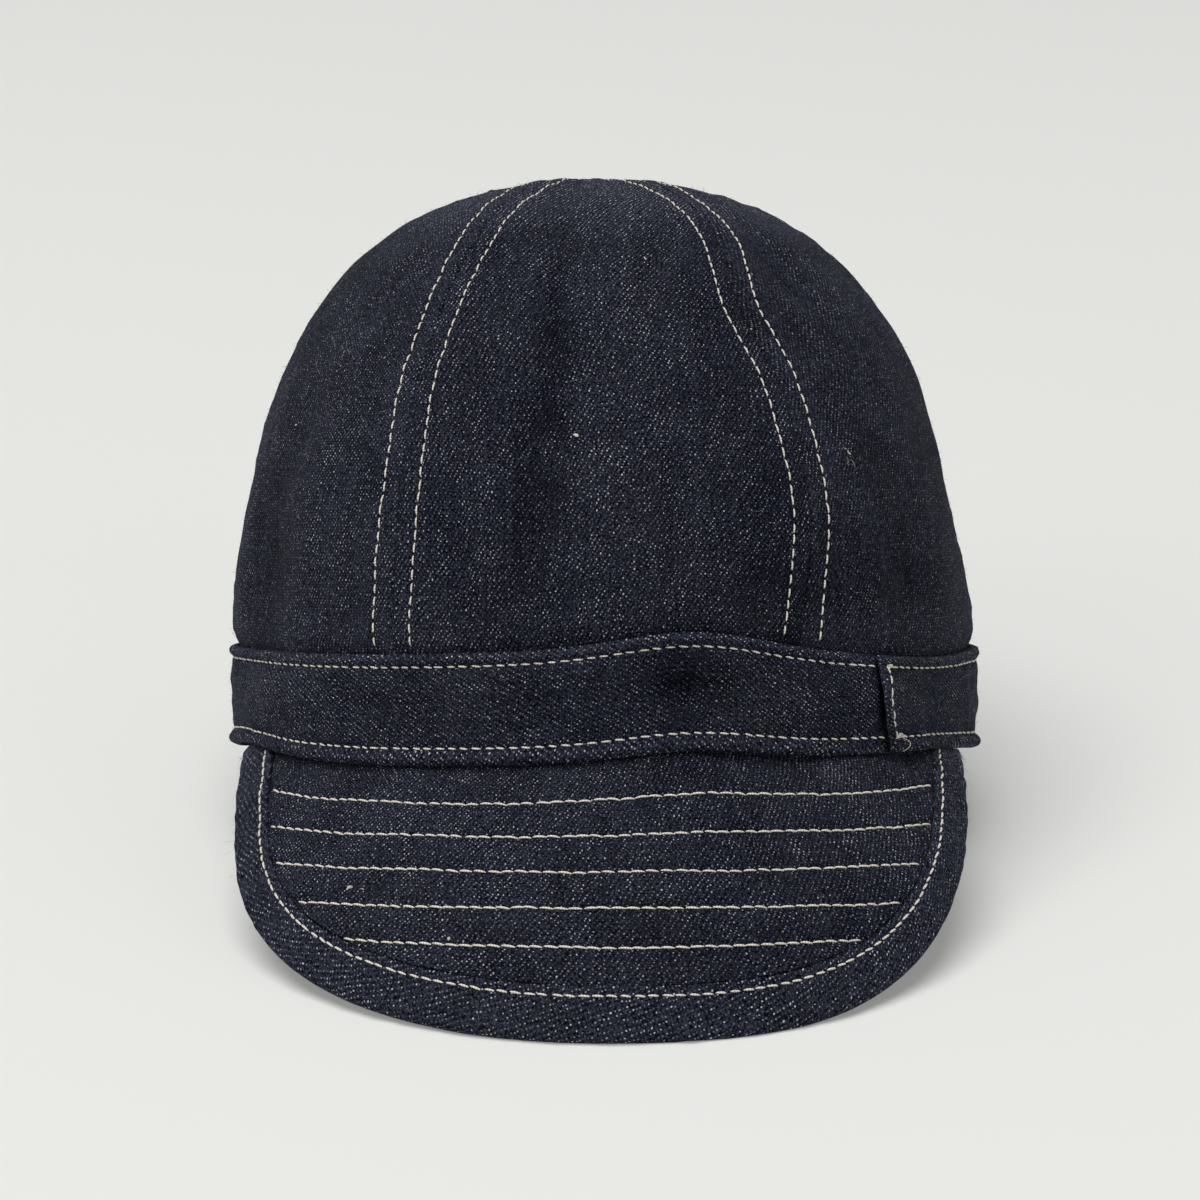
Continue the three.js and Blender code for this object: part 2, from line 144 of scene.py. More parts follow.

# Soft dents of the peak, also painted into its colour as shade and light at twice the weight of the
# folds
PEAK_DENTS = [
    # azimuth, reach, out, spread sideways (degrees), spread forwards (mm)
    (13, 5, -1.3, 7.0, 4.5),
    (27, 3, -0.6, 8.0, 4.0),
    (-20, 8, 0.3, 14.0, 8.0),
    (20, 2, -0.5, 6.0, 3.0),
    (-11.5, 8, -0.5, 5.0, 4.0),
    (-36, 8.5, -0.6, 4.0, 4.0),
    (11.5, 25, -0.7, 11.0, 6.0),
    (9, 48, -0.5, 16.0, 8.0),
    (-20, 52, 0.45, 14.0, 5.0),
    (36, 25, 0.5, 7.0, 14.0),
    (-39, 34, 0.5, 7.0, 12.0),
    (30, 30, -0.3, 12.0, 12.0),
]

# Band
BAND_HEIGHT = 24.2
BAND_END = 43.5
BAND_OVERLAP = 8.0
BAND_STEP_FADE = 5.0
BAND_WALL = 1.5
BAND_STITCH = 2.95
BAND_PLAIN = 1.76
BAND_END_TURN = [
    # height, how far the folded end turns aside there
    (0.0, 2.6),
    (3.0, 2.0),
    (7.5, 0.4),
    (12.1, -0.6),
    (17.0, -0.5),
    (21.2, 0.0),
    (24.2, 0.0),
]
HEM_SECTION = [
    # distance from the nearer edge, thickness: a roped hem, a stitched groove, then the plain strip
    (0.0, 1.0),
    (0.2, 1.5),
    (0.5, 1.95),
    (0.9, 2.2),
    (1.3, 2.3),
    (1.8, 2.22),
    (2.3, 1.9),
    (2.7, 1.4),
    (2.95, 1.22),
    (3.2, 1.3),
    (3.6, 1.5),
    (4.4, 1.62),
    (6.0, 1.7),
    (8.5, 1.74),
    (12.1, 1.76),
]
LOWER_HEM_SHARE = 1.35
HEM_DROOP = 0.9
BAND_WAVES = [
    # azimuth, rise of the lower edge, rise of the upper edge, spread
    (-72, 2.9, -0.2, 19.0),
    (-38, -1.2, -2.1, 40.0),
    (13, 2.5, 3.5, 14.6),
    (57.5, 1.5, -3.0, 26.5),
]
WAVE_END_HEIGHT = 72.0
WAVE_END_REACH = 38.0

# Peak and its binding
PEAK_LENGTH = 70.0
PEAK_START_SLOPE = 45
PEAK_END_SLOPE = 70
PEAK_DROP = 57.3
PEAK_WALL = 2.2
PEAK_SEAT = 0.35
PEAK_SPREAD = 70.5
PEAK_SIDES = {
    # half width, power of the side, power of the front edge
    "right": (82.4, 2.1, 4.0),
    "left": (81.4, 3.2, 2.65),
}
QUILT_ROWS = [
    # reach at the middle, how much more it reaches at the side
    (11.8, -1.5),
    (20.9, -1.1),
    (29.8, -0.3),
    (38.5, 1.0),
    (47.6, -2.6),
]
QUILT_SIDE = 60
QUILT_DEPTH = 0.5
BINDING_WIDTH = 11.7
BINDING_STITCH = 9.5
BINDING_SIDE_SHARE = 0.69
BINDING_WALL = 1.0
BINDING_START = 1.0
PEAK_EDGE_RELIEF = 0.4
PEAK_EDGE_INSET = 1.7
PEAK_TAPER = 6.5
PEAK_END_SHARE = 0.15
FOLD_CORNER = 0.5

# Resting on the table
LEAN = 17
SETTLE_ROUNDING = 6.0
SETTLE_FOOT = 25.0
SETTLE_TOP = 110.0
PEAK_EDGE_PRESSED = 0.35
FOOTPRINT_MIDDLE = -17.0

# Thread
THREAD_RADIUS = 0.22
STITCH_PITCH = 2.9
PEAK_THREAD_RADIUS = 0.26
PEAK_STITCH_PITCH = 3.1

# Camera: the photograph is 1200 pixels wide
CAMERA_DISTANCE = 1150.0
CAMERA_PITCH = 17
PHOTO_WIDTH = 1200
PIXELS_PER_MM = 4.26
AIM_UP = 34.0
AIM_SIDE = -0.94
SENSOR = 36.0


# Small functions


def sine(angle):
    return np.sin(np.radians(angle))


def cosine(angle):
    return np.cos(np.radians(angle))


def mix(a, b, share):
    return a + (b - a) * share


def ease(start, end, value):
    share = np.clip((value - start) / (end - start), 0, 1)
    return share * share * (3 - 2 * share)


def bell(distance, spread):
    return np.exp(-((distance / spread) ** 2))


def turn_between(a, b):
    return (a - b + 540) % 360 - 180


def unit(vectors):
    length = np.linalg.norm(vectors, axis=-1, keepdims=True)
    return vectors / np.maximum(length, 1e-9)


def stack(*parts):
    return np.stack(np.broadcast_arrays(*parts), axis=-1)


def lengths_along(points, axis=0):
    """Length along lines of points, from the first point up to each."""
    first = np.take(points, [0], axis=axis)
    steps = np.linalg.norm(np.diff(points, axis=axis, prepend=first), axis=-1)
    return np.cumsum(steps, axis=axis)


def ripple(points, wavelength, seed, waves=14):
    """Smooth seeded noise of unit size over an array of points."""
    random = np.random.default_rng(seed)
    total = np.zeros(points.shape[:-1])
    for _ in range(waves):
        direction = unit(random.normal(size=points.shape[-1]))
        pitch = wavelength * random.uniform(0.7, 1.5)
        total += np.sin(points @ direction * 2 * np.pi / pitch + random.uniform(0, 2 * np.pi))
    return total / np.sqrt(waves / 2)


def crumple(points, waves):
    """Sum of ripples, each with its depth, wavelength and seed."""
    return sum(size * ripple(points, wavelength, seed) for size, wavelength, seed in waves)


# Crown surface


def climb_at(height):
    share = np.maximum(height, 0) / CROWN_HEIGHT
    return np.degrees(np.arcsin(share ** (RISE_POWER / 2)))


def height_at(climb):
    return CROWN_HEIGHT * np.abs(sine(climb)) ** (2 / RISE_POWER)


def round_at(climb):
    return np.maximum(0, cosine(climb)) ** (2 / ROUND_POWER)


def folds_at(azimuth, height):
    out = 0
    for fold_azimuth, fold_height, fold_out, wide, tall in FOLDS:
        sideways = bell(turn_between(azimuth, fold_azimuth), wide)
        out = out + fold_out * sideways * bell(height - fold_height, tall)
    return out


def edge_rise(azimuth, edge):
    """How far the band's lower (0) or upper (1) edge rises out of level."""
    rise = 0
    for wave in BAND_WAVES:
        rise = rise + wave[1 + edge] * bell(turn_between(azimuth, wave[0]), wave[3])
    return rise


def band_rise(azimuth, height):
    share = np.clip(height / BAND_HEIGHT, 0, 1)
    rise = mix(edge_rise(azimuth, 0), edge_rise(azimuth, 1), share)
    return rise * (1 - ease(BAND_HEIGHT, WAVE_END_HEIGHT, height))


def crown_point(azimuth, climb, distance):
    """Points that stand out from the crown's outer face by a distance."""
    azimuth, climb, distance = np.broadcast_arrays(azimuth, climb, distance)
    around = round_at(climb)
    height = height_at(climb)
    up_share = height / CROWN_HEIGHT
    steep = ROUND_POWER * around ** (ROUND_POWER - 1)
    normal = unit(
        stack(
            steep * sine(azimuth) / CROWN_HALF_WIDTH,
            -steep * cosine(azimuth) / CROWN_HALF_LENGTH,
            RISE_POWER * up_share ** (RISE_POWER - 1) / CROWN_HEIGHT,
        )
    )
    tuck = TUCK * (1 - ease(BAND_HEIGHT, TUCK_END, height))
    off = distance - tuck + folds_at(azimuth, height)
    base = stack(
        CROWN_HALF_WIDTH * around * sine(azimuth) + TOP_LEAN * up_share**2,
        -CROWN_HALF_LENGTH * around * cosine(azimuth) + TOP_BACK * up_share**2,
        height + band_rise(azimuth, height),
    )
    return base + normal * off[..., None]


def millimetres_per_degree(azimuth, climb):
    across = np.hypot(CROWN_HALF_WIDTH * cosine(azimuth), CROWN_HALF_LENGTH * sine(azimuth))
    return across * round_at(climb) * radians(1)


def seam_azimuth(seam, climb):
    place = seam % len(SEAMS)
    azimuth = SEAMS[place] + 360 * (seam // len(SEAMS)) + 0 * climb
    for bowed, height, turn, spread in SEAM_BOWS:
        if bowed == place:
            azimuth = azimuth + turn * bell(height_at(climb) - height, spread)
    return azimuth


# Peak surface


def peak_point(azimuth, reach, distance):
    """Points at a reach from the foot along the peak, standing off its upper face."""
    azimuth, reach, distance = np.broadcast_arrays(azimuth, reach, distance)
    bend = radians(PEAK_END_SLOPE - PEAK_START_SLOPE) / PEAK_LENGTH
    slope = mix(PEAK_START_SLOPE, PEAK_END_SLOPE, reach / PEAK_LENGTH)
    out = (sine(slope) - sine(PEAK_START_SLOPE)) / bend + distance * sine(slope)
    drop = (cosine(PEAK_START_SLOPE) - cosine(slope)) / bend - distance * cosine(slope)
    half_width = CROWN_HALF_WIDTH - TUCK
    half_length = CROWN_HALF_LENGTH - TUCK
    outward = unit(stack(sine(azimuth) / half_width, -cosine(azimuth) / half_length))
    rise = edge_rise(azimuth, 0) * (1 - ease(0, WAVE_END_REACH, reach))
    return stack(
        half_width * sine(azimuth) + outward[..., 0] * out,
        -half_length * cosine(azimuth) + outward[..., 1] * out,
        rise - PEAK_SEAT - drop,
    )


def peak_reach(azimuth, inset, side_share):
    """How far the peak reaches at each azimuth before its outline, drawn in by an inset."""
    azimuth = np.asarray(azimuth, float)
    sides = zip(PEAK_SIDES["right"], PEAK_SIDES["left"])
    width, side_power, front_power = [np.where(azimuth < 0, right, left) for right, left in sides]
    width = width - inset * side_share
    drop = PEAK_DROP - inset * sine(PEAK_END_SLOPE)
    rise = edge_rise(azimuth, 0)
    low = np.zeros_like(azimuth)
    high = np.full_like(azimuth, PEAK_LENGTH * 1.2)
    for _ in range(24):
        middle = (low + high) / 2
        point = peak_point(azimuth, middle, 0)
        level = rise * (1 - ease(0, WAVE_END_REACH, middle)) - PEAK_SEAT - point[..., 2]
        level = np.maximum(level, 0)
        outline = (np.abs(point[..., 0]) / width) ** side_power + (level / drop) ** front_power
        outside = outline > 1
        low = np.where(outside, low, middle)
        high = np.where(outside, middle, high)
    return low


def peak_fullness(azimuth):
    """The peak thins to a feather edge where its ends are sewn in under the band."""
    return mix(1, PEAK_END_SHARE, ease(PEAK_SPREAD - PEAK_TAPER, PEAK_SPREAD, np.abs(azimuth)))


def quilt_reach(row, azimuth):
    reach, sideways = QUILT_ROWS[row]
    return reach + sideways * (azimuth / QUILT_SIDE) ** 2


# Resting pose


def leaned_up(point):
    return point[..., 2] * cosine(LEAN) - point[..., 1] * sine(LEAN)


LOWEST_CORNER = peak_point(0, peak_reach(0, 0, 1) - FOLD_CORNER, -PEAK_WALL - FOLD_CORNER)
RIM_RISE = -leaned_up(LOWEST_CORNER) - PEAK_EDGE_PRESSED


def rest(point):
    """Leans points back and lays what would sink into the table on it."""
    x, back, up = point[..., 0], point[..., 1], point[..., 2]
    rim = RIM_RISE - back * sine(LEAN)
    rounded = (rim + SETTLE_ROUNDING) ** 2 / (4 * SETTLE_ROUNDING)
    settled = np.where(np.abs(rim) < SETTLE_ROUNDING, rounded, np.maximum(0, rim))
    share = 1 - ease(SETTLE_FOOT, SETTLE_TOP, up)
    z = RIM_RISE + leaned_up(point) + (settled - rim) * share
    y = back * cosine(LEAN) + up * sine(LEAN) - FOOTPRINT_MIDDLE
    return stack(x, y, np.maximum(z, 0))


# Meshes

WALL_UV = 1.5


def mesh_object(name, vertices, faces, uv, attributes=(), sharp=50):
    """A smooth mesh in metres from points in millimetres on the table."""
    mesh = bpy.data.meshes.new(name)
    mesh.from_pydata((vertices * METRES).tolist(), [], faces)
    mesh.polygons.foreach_set("use_smooth", np.ones(len(mesh.polygons), bool))
    layer = mesh.uv_layers.new(name="weave")
    corners = np.zeros(len(mesh.loops), int)
    mesh.loops.foreach_get("vertex_index", corners)
    layer.data.foreach_set("uv", uv[corners].astype(np.float32).ravel())
    for attribute, values in attributes:
        made = mesh.attributes.new(attribute, "FLOAT", "POINT")
        made.data.foreach_set("value", values.astype(np.float32))
    mesh.set_sharp_from_angle(angle=radians(sharp))
    mesh.update()
    piece = bpy.data.objects.new(name, mesh)
    bpy.context.scene.collection.objects.link(piece)
    return piece


def finish_piece(piece, material, slot, *nodes):
    piece.data.materials.append(material)
    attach(piece, "root")
    if nodes:
        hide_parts(*nodes)


def sheet(node, material, outer, inner, uv, wear_and_shading, haze_and_sheen):
    """Replaces a node by a closed sheet of cloth, its two faces given as grids of cap-frame points."""
    rows, columns = outer.shape[:2]
    index = np.arange(rows * columns).reshape(rows, columns)
    back = index + rows * columns

    def quads(a, b, c, d):
        return np.stack([a.ravel(), b.ravel(), c.ravel(), d.ravel()], axis=1)

    faces = np.concatenate(
        [
            quads(index[:-1, :-1], index[:-1, 1:], index[1:, 1:], index[1:, :-1]),
            quads(back[:-1, :-1], back[1:, :-1], back[1:, 1:], back[:-1, 1:]),
            quads(back[0, :-1], back[0, 1:], index[0, 1:], index[0, :-1]),
            quads(index[-1, :-1], index[-1, 1:], back[-1, 1:], back[-1, :-1]),
            quads(index[:-1, 0], index[1:, 0], back[1:, 0], back[:-1, 0]),
            quads(back[:-1, -1], back[1:, -1], index[1:, -1], index[:-1, -1]),
        ]
    )
    vertices = rest(np.concatenate([outer.reshape(-1, 3), inner.reshape(-1, 3)]))
    both = np.concatenate([uv.reshape(-1, 2), uv.reshape(-1, 2) - WALL_UV])
    attributes = []
    for attribute, values in (("wear_and_shading", wear_and_shading), ("haze_and_sheen", haze_and_sheen)):
        outside = np.broadcast_to(values, (rows, columns)).ravel()
        attributes.append((attribute, np.concatenate([outside, np.zeros(rows * columns)])))
    piece = mesh_object(node + "_cloth", vertices, faces.tolist(), both, attributes)
    finish_piece(piece, material, "denim", node)


# Materials


class Value:
    """A socket of a node tree that is reckoned with like a number."""

    def __init__(self, nodes, socket):
        self.nodes = nodes
        self.socket = socket

    def __add__(self, other):
        return self.nodes.math("ADD", self, other)

    def __sub__(self, other):
        return self.nodes.math("SUBTRACT", self, other)

    def __rsub__(self, other):
        return self.nodes.math("SUBTRACT", other, self)

    def __mul__(self, other):
        return self.nodes.math("MULTIPLY", self, other)

    def __truediv__(self, other):
        return self.nodes.math("DIVIDE", self, other)

    def __pow__(self, other):
        return self.nodes.math("POWER", self, other)


class Nodes:
    """Short calls for building one material's node tree."""

    def __init__(self, name):
        self.material = bpy.data.materials.new(name)
        self.material.use_nodes = True
        self.tree = self.material.node_tree
        self.shader = self.tree.nodes["Principled BSDF"]

    def node(self, kind, inputs=(), output=0, **settings):
        """Adds a node, feeds its inputs, given in order or by key, and gives one of its outputs."""
        made = self.tree.nodes.new(kind)
        for key, setting in settings.items():
            setattr(made, key, setting)
        keyed = inputs if isinstance(inputs, dict) else dict(enumerate(inputs))
        for key, value in keyed.items():
            self.feed(made.inputs[key], value)
        return Value(self, made.outputs[output])

    def feed(self, socket, value):
        if isinstance(value, Value):
            self.tree.links.new(value.socket, socket)
        else:
            socket.default_value = value

    def math(self, operation, *values):
        return self.node("ShaderNodeMath", values, operation=operation)

    def fade(self, value, start, end, low=0.0, high=1.0):
        numbers = (value, start, end, low, high)
        return self.node("ShaderNodeMapRange", numbers, interpolation_type="SMOOTHSTEP")

    def noise(self, vector, scale, detail=2.0, roughness=0.5):
        inputs = {"Vector": vector, "Scale": scale, "Detail": detail, "Roughness": roughness}
        return self.node("ShaderNodeTexNoise", inputs)

    def random(self, x, y):
        return self.node("ShaderNodeTexWhiteNoise", (self.combine(x, y),), noise_dimensions="2D")

    def combine(self, x, y):
        return self.node("ShaderNodeCombineXYZ", (x, y, 0.0))

    def blend(self, share, first, second):
        return self.node("ShaderNodeMix", {0: share, 6: first, 7: second}, 2, data_type="RGBA")

    def attribute(self, name):
        return self.node("ShaderNodeAttribute", output="Fac", attribute_name=name)

    def coordinates(self):
        """Millimetres across and along the cloth, in one vector."""
        return self.node("ShaderNodeUVMap", uv_map="weave")

    def split(self, vector):
        made = self.node("ShaderNodeSeparateXYZ", (vector,)).socket.node
        return [Value(self, made.outputs[axis]) for axis in (0, 1)]

    def bump(self, height, strength, depth):
        """Small relief, its depth in millimetres."""
        inputs = {"Strength": strength, "Distance": depth * METRES, "Height": height}
        self.feed(self.shader.inputs["Normal"], self.node("ShaderNodeBump", inputs))

    def dress(self, values):
        """Sets or feeds the shader's own sockets, and gives the finished material."""
        for name, value in values.items():
            self.feed(self.shader.inputs[name], value)
        return self.material


# Twill: sizes in millimetres, and colours of its yarns
WARP_PITCH = 0.38
WEFT_PITCH = 0.6
NAVY_WARP = (0.0008, 0.0012, 0.0045, 1)
GREY_WARP = (0.0019, 0.0022, 0.004, 1)
# The pale faded warp, also the colour that painted highlights are given
WORN_WARP = (0.0295, 0.032, 0.051, 1)
# The grey of fuzz, also the colour of painted sheen
FUZZ_COLOUR = (0.045, 0.049, 0.075, 1)
WEFT_COLOUR = (0.455, 0.47, 0.515, 1)
SHEEN_TINT = (0.6, 0.64, 0.92, 1)
WANDER_ACROSS = 2.4
WANDER_ALONG = 0.7

# Flecks of weft: places and sizes in pitches of the warp and weft
TWILL_ENDS = 3.0
FLECK_PLACE = (0.75, 0.5)
FLECK_SIZE = (0.52, 0.36)
FLECK_SCATTER = (0.7, 0.4)
FLECK_OWN_TONE = 0.62
FLECK_CONTRAST = 3.6
FLECK_GAIN = 1.8
FLECK_LEAST = 0.07

# Thread colours: painted shade between the plies, the plies themselves, and where it is stained
THREAD_PLY_SHADE = (0.36, 0.32, 0.23, 1)
THREAD_PALE = (0.86, 0.825, 0.71, 1)
THREAD_STAINED = (0.55, 0.5, 0.38, 1)
THREAD_TWIST = 1.7

# Loose fibres and lint
BLUE_COTTON = (0.26, 0.28, 0.34, 1)
DEEP_BLUE_COTTON = (0.06, 0.07, 0.11, 1)
PALE_COTTON = (0.6, 0.58, 0.52, 1)
SHADED_COTTON = (0.42, 0.4, 0.36, 1)


def denim_material(name, warp_level=False, scatter=1.0):
    """Right-hand 2/1 twill: dark warp yarns with a light weft yarn showing at every third crossing."""
    n = Nodes(name)
    across, along = n.split(n.coordinates())
    if warp_level:
        across, along = along, across * -1.0
    cloth = n.combine(across, along)

    # Yarns wander a little
    across = across + (n.noise(cloth, 0.07, 2.0) - 0.5) * WANDER_ACROSS
    along = along + (n.noise(cloth, 0.9, 1.0) - 0.5) * WANDER_ALONG
    warp = across / WARP_PITCH
    weft = along / WEFT_PITCH
    pick = n.math("FLOOR", weft)
    in_pick = n.math("FRACT", weft)
    end = n.math("FLOOR", warp)
    in_end = n.math("FRACT", warp)

    # Where the weft shows: every third end, one end further on at each pick
    third = (warp - pick) / TWILL_ENDS
    cell = n.math("FLOOR", third)
    in_cell = n.math("FRACT", third) * TWILL_ENDS
    size = n.random(pick, cell + 0.5)
    shift = (n.random(cell, pick + 0.3) - 0.5) * (FLECK_SCATTER[0] * scatter)
    lift = (size - 0.5) * (FLECK_SCATTER[1] * scatter)
    off_x = in_cell - FLECK_PLACE[0] - shift
    off_y = in_pick - FLECK_PLACE[1] - lift
    rounded = (off_x / FLECK_SIZE[0]) ** 2.0 + (off_y / FLECK_SIZE[1]) ** 2.0
    fleck = n.fade(rounded, size * 0.6 + 0.6, 0.1)

    # A fleck's brightness: partly its own, partly that of the warp yarns beside it
    column = pick + cell * TWILL_ENDS
    beside = n.noise(n.combine(column * 7.31, along * 0.11), 1.0, 1.0)
    tone = n.random(cell, pick) * FLECK_OWN_TONE + n.fade(beside, 0.3, 0.7, 0.0, 1 - FLECK_OWN_TONE)
    lot = tone**FLECK_CONTRAST * FLECK_GAIN + FLECK_LEAST

    # Washing shows more of them in patches and rubbed places, the wear attribute also carrying painted
    # shade and light; loose fibres veil them, and the veil carries painted sheen as well
    wear_and_shading = n.attribute("wear_and_shading")
    patches = n.noise(cloth, 0.06, 4.0, 0.62)
    shown = n.fade(patches, 0.3, 0.7, 0.7, 1.1) + wear_and_shading * 0.8
    streaks = n.noise(n.combine(across, along * 0.4), 0.16, 4.0, 0.66)
    veil_and_sheen = n.attribute("haze_and_sheen") * n.fade(streaks, 0.38, 0.62, 0.05, 1.2)
    strength = fleck * lot * (shown * (1.0 - veil_and_sheen * 0.8))

    # Warp yarns differ in shade along their length, and rubbed places are paler; this also carries
    # painted shade and painted highlights
    slub = n.noise(n.combine(across * 2.1, along * 0.14), 1.0, 3.0, 0.6)
    grain = n.noise(n.combine(across, along), 1.7, 3.0, 0.75)
    worn_and_shaded = n.random(end, 7.0) * 0.12 + n.fade(slub, 0.42, 0.74, 0.0, 0.3)
    worn_and_shaded = worn_and_shaded + n.fade(patches, 0.35, 0.7, 0.16, 0.34) + wear_and_shading * 0.35
    worn_and_shaded = worn_and_shaded * n.fade(grain, 0.42, 0.62, 0.0, 2.2)
    tint = n.fade(n.noise(cloth, 0.028, 3.0, 0.55), 0.38, 0.62)
    dark = n.blend(worn_and_shaded, n.blend(tint, NAVY_WARP, GREY_WARP), WORN_WARP)
    hairs = n.noise(n.combine(across, along * 0.7), 1.15, 4.0, 0.82)
    dark = n.blend(veil_and_sheen * n.fade(hairs, 0.47, 0.61, 0.0, 1.1), dark, FUZZ_COLOUR)

    # Round yarns, with the weft lying lower
    ridge = n.math("SINE", in_end * np.pi) * 0.5
    float_bow = n.math("COSINE", off_y * np.pi)
    n.bump(ridge + fleck * float_bow * 0.5 + grain * 0.8, 0.6, 0.12)
    return n.dress(
        {
            "Base Color": n.blend(strength, dark, WEFT_COLOUR),
            "Roughness": 0.9,
            "Specular IOR Level": 0.03,
            "Sheen Weight": 0.022,
            "Sheen Roughness": 0.35,
            "Sheen Tint": SHEEN_TINT,
        }
    )


def cotton_material(name, pale, deep, roughness):
    """Loose cotton, a little different from fibre to fibre."""
    n = Nodes(name)
    share = n.fade(n.noise(n.coordinates(), 0.45, 3.0), 0.35, 0.65)
    colour = n.blend(share, pale, deep)
    return n.dress({"Base Color": colour, "Roughness": roughness, "Specular IOR Level": 0.15})


def thread_material():
    """Ecru two-ply cotton thread; its twist follows the mesh's own coordinates."""
    n = Nodes("ecru_thread")
    coordinates = n.coordinates()
    along, around = n.split(coordinates)
    ply = n.math("ABSOLUTE", n.math("SINE", (along * THREAD_TWIST + around) * np.pi))
    # Painted shade between the plies
    colour = n.blend(n.fade(ply, 0.0, 0.7), THREAD_PLY_SHADE, THREAD_PALE)
    stained = n.fade(n.noise(coordinates, 0.35, 2.0), 0.3, 0.7, 0.0, 0.35)
    n.bump(ply, 0.5, 0.1)
    colour = n.blend(stained, colour, THREAD_STAINED)
    return n.dress({"Base Color": colour, "Roughness": 0.7, "Sheen Weight": 0.2})


# Crown

GORE_ROW_STEP = 1.7
GORE_MIDDLE_STEP = 1.8
SEAM_COLUMNS = [0, 0.15, 0.35, 0.6, 1.0, 1.6, 2.4, 3.2, 3.8, 4.2]
SEAM_COLUMNS += [4.5, 4.7, 4.9, 5.1, 5.3, 5.6, 6.2, 7.0, 7.8, 8.8]
SEAM_COLUMN_SHARE = 0.42
SEAM_GAP = 0.03
TOP_OPENING_RADIUS = 0.6
PROFILE_SAMPLES = 4000

# Where the ridge over a seam and the allowance under it fade out, from the seam
RIDGE_FADE = (6.2, 8.6)
ALLOWANCE_FADE = (6.4, 8.6)

# Depth, wavelength and seed of ripples
CROWN_CRUMPLE = (0.22, 34.0, 11)
CROWN_CRINKLE = (0.1, 15.0, 12)
SEAM_PUCKER = (0.16, 7.0, 31)

# Depth and width of the sunk line of topstitching, and how deep each stitch draws the cloth in
STITCH_SINK = 0.28
STITCH_SINK_WIDTH = 0.55
STITCH_DRAW = 0.1

# How far apart pieces lie in the coordinates of the weave
GORE_CLOTH_STEP = 200.0
SEAM_RIPPLE_STEP = 40.0
BAND_CLOTH = 2000
PEAK_CLOTH = 4000
BINDING_CLOTH = 6000

SEAM_WEAR = 0.15
# Heights where the top's painted sheen and painted highlight grow
TOP_SHEEN_HEIGHTS = (85, 126)
TOP_HIGHLIGHT_HEIGHTS = (114, 127)


def meridian():
    """Climb angles from foot to top, evenly spaced along the crown, and the length up to each."""
    tip = (TOP_OPENING_RADIUS / CROWN_HALF_WIDTH) ** (ROUND_POWER / 2)
    last = np.degrees(np.arccos(tip))
    fine = last * np.linspace(0, 1, PROFILE_SAMPLES)
    length = lengths_along(stack(CROWN_HALF_WIDTH * round_at(fine), height_at(fine)))
    count = int(length[-1] / GORE_ROW_STEP)
    wanted = np.linspace(0, length[-1], count)
    return np.interp(wanted, length, fine), wanted


CLIMBS, CLIMB_LENGTHS = meridian()


def seam_relief(from_seam, along, seam):
    """Ridge over the pressed-open allowances, the groove between them and puckers at the stitches."""
    ridge = SEAM_RIDGE * (1 - ease(*RIDGE_FADE, from_seam))
    groove = SEAM_GROOVE * bell(from_seam, SEAM_GROOVE_WIDTH)
    stitched = STITCH_SINK * bell(from_seam - TOPSTITCH_OFFSET, STITCH_SINK_WIDTH)
    place = stack(along, 0 * along + seam % len(SEAMS) * SEAM_RIPPLE_STEP)
    drawn = STITCH_DRAW * np.sin(2 * np.pi * along / STITCH_PITCH)
    pucker = crumple(place, [SEAM_PUCKER]) + drawn
    return ridge - groove - stitched + pucker * bell(from_seam - 3.5, 3.6)


def crown_relief(from_seam, length, seam, azimuth, climb):
    """Seam ridges and soft crumples of the crown's outer face, fading out under the band."""
    surface = crown_point(azimuth, climb, 0)
    loose = 1 - bell(from_seam, 9.0)
    crumpled = crumple(surface, [CROWN_CRUMPLE]) + crumple(surface, [CROWN_CRINKLE]) * loose
    above_band = ease(BAND_HEIGHT - 1, BAND_HEIGHT + 4, height_at(climb))
    return (seam_relief(from_seam, length, seam) + crumpled) * above_band


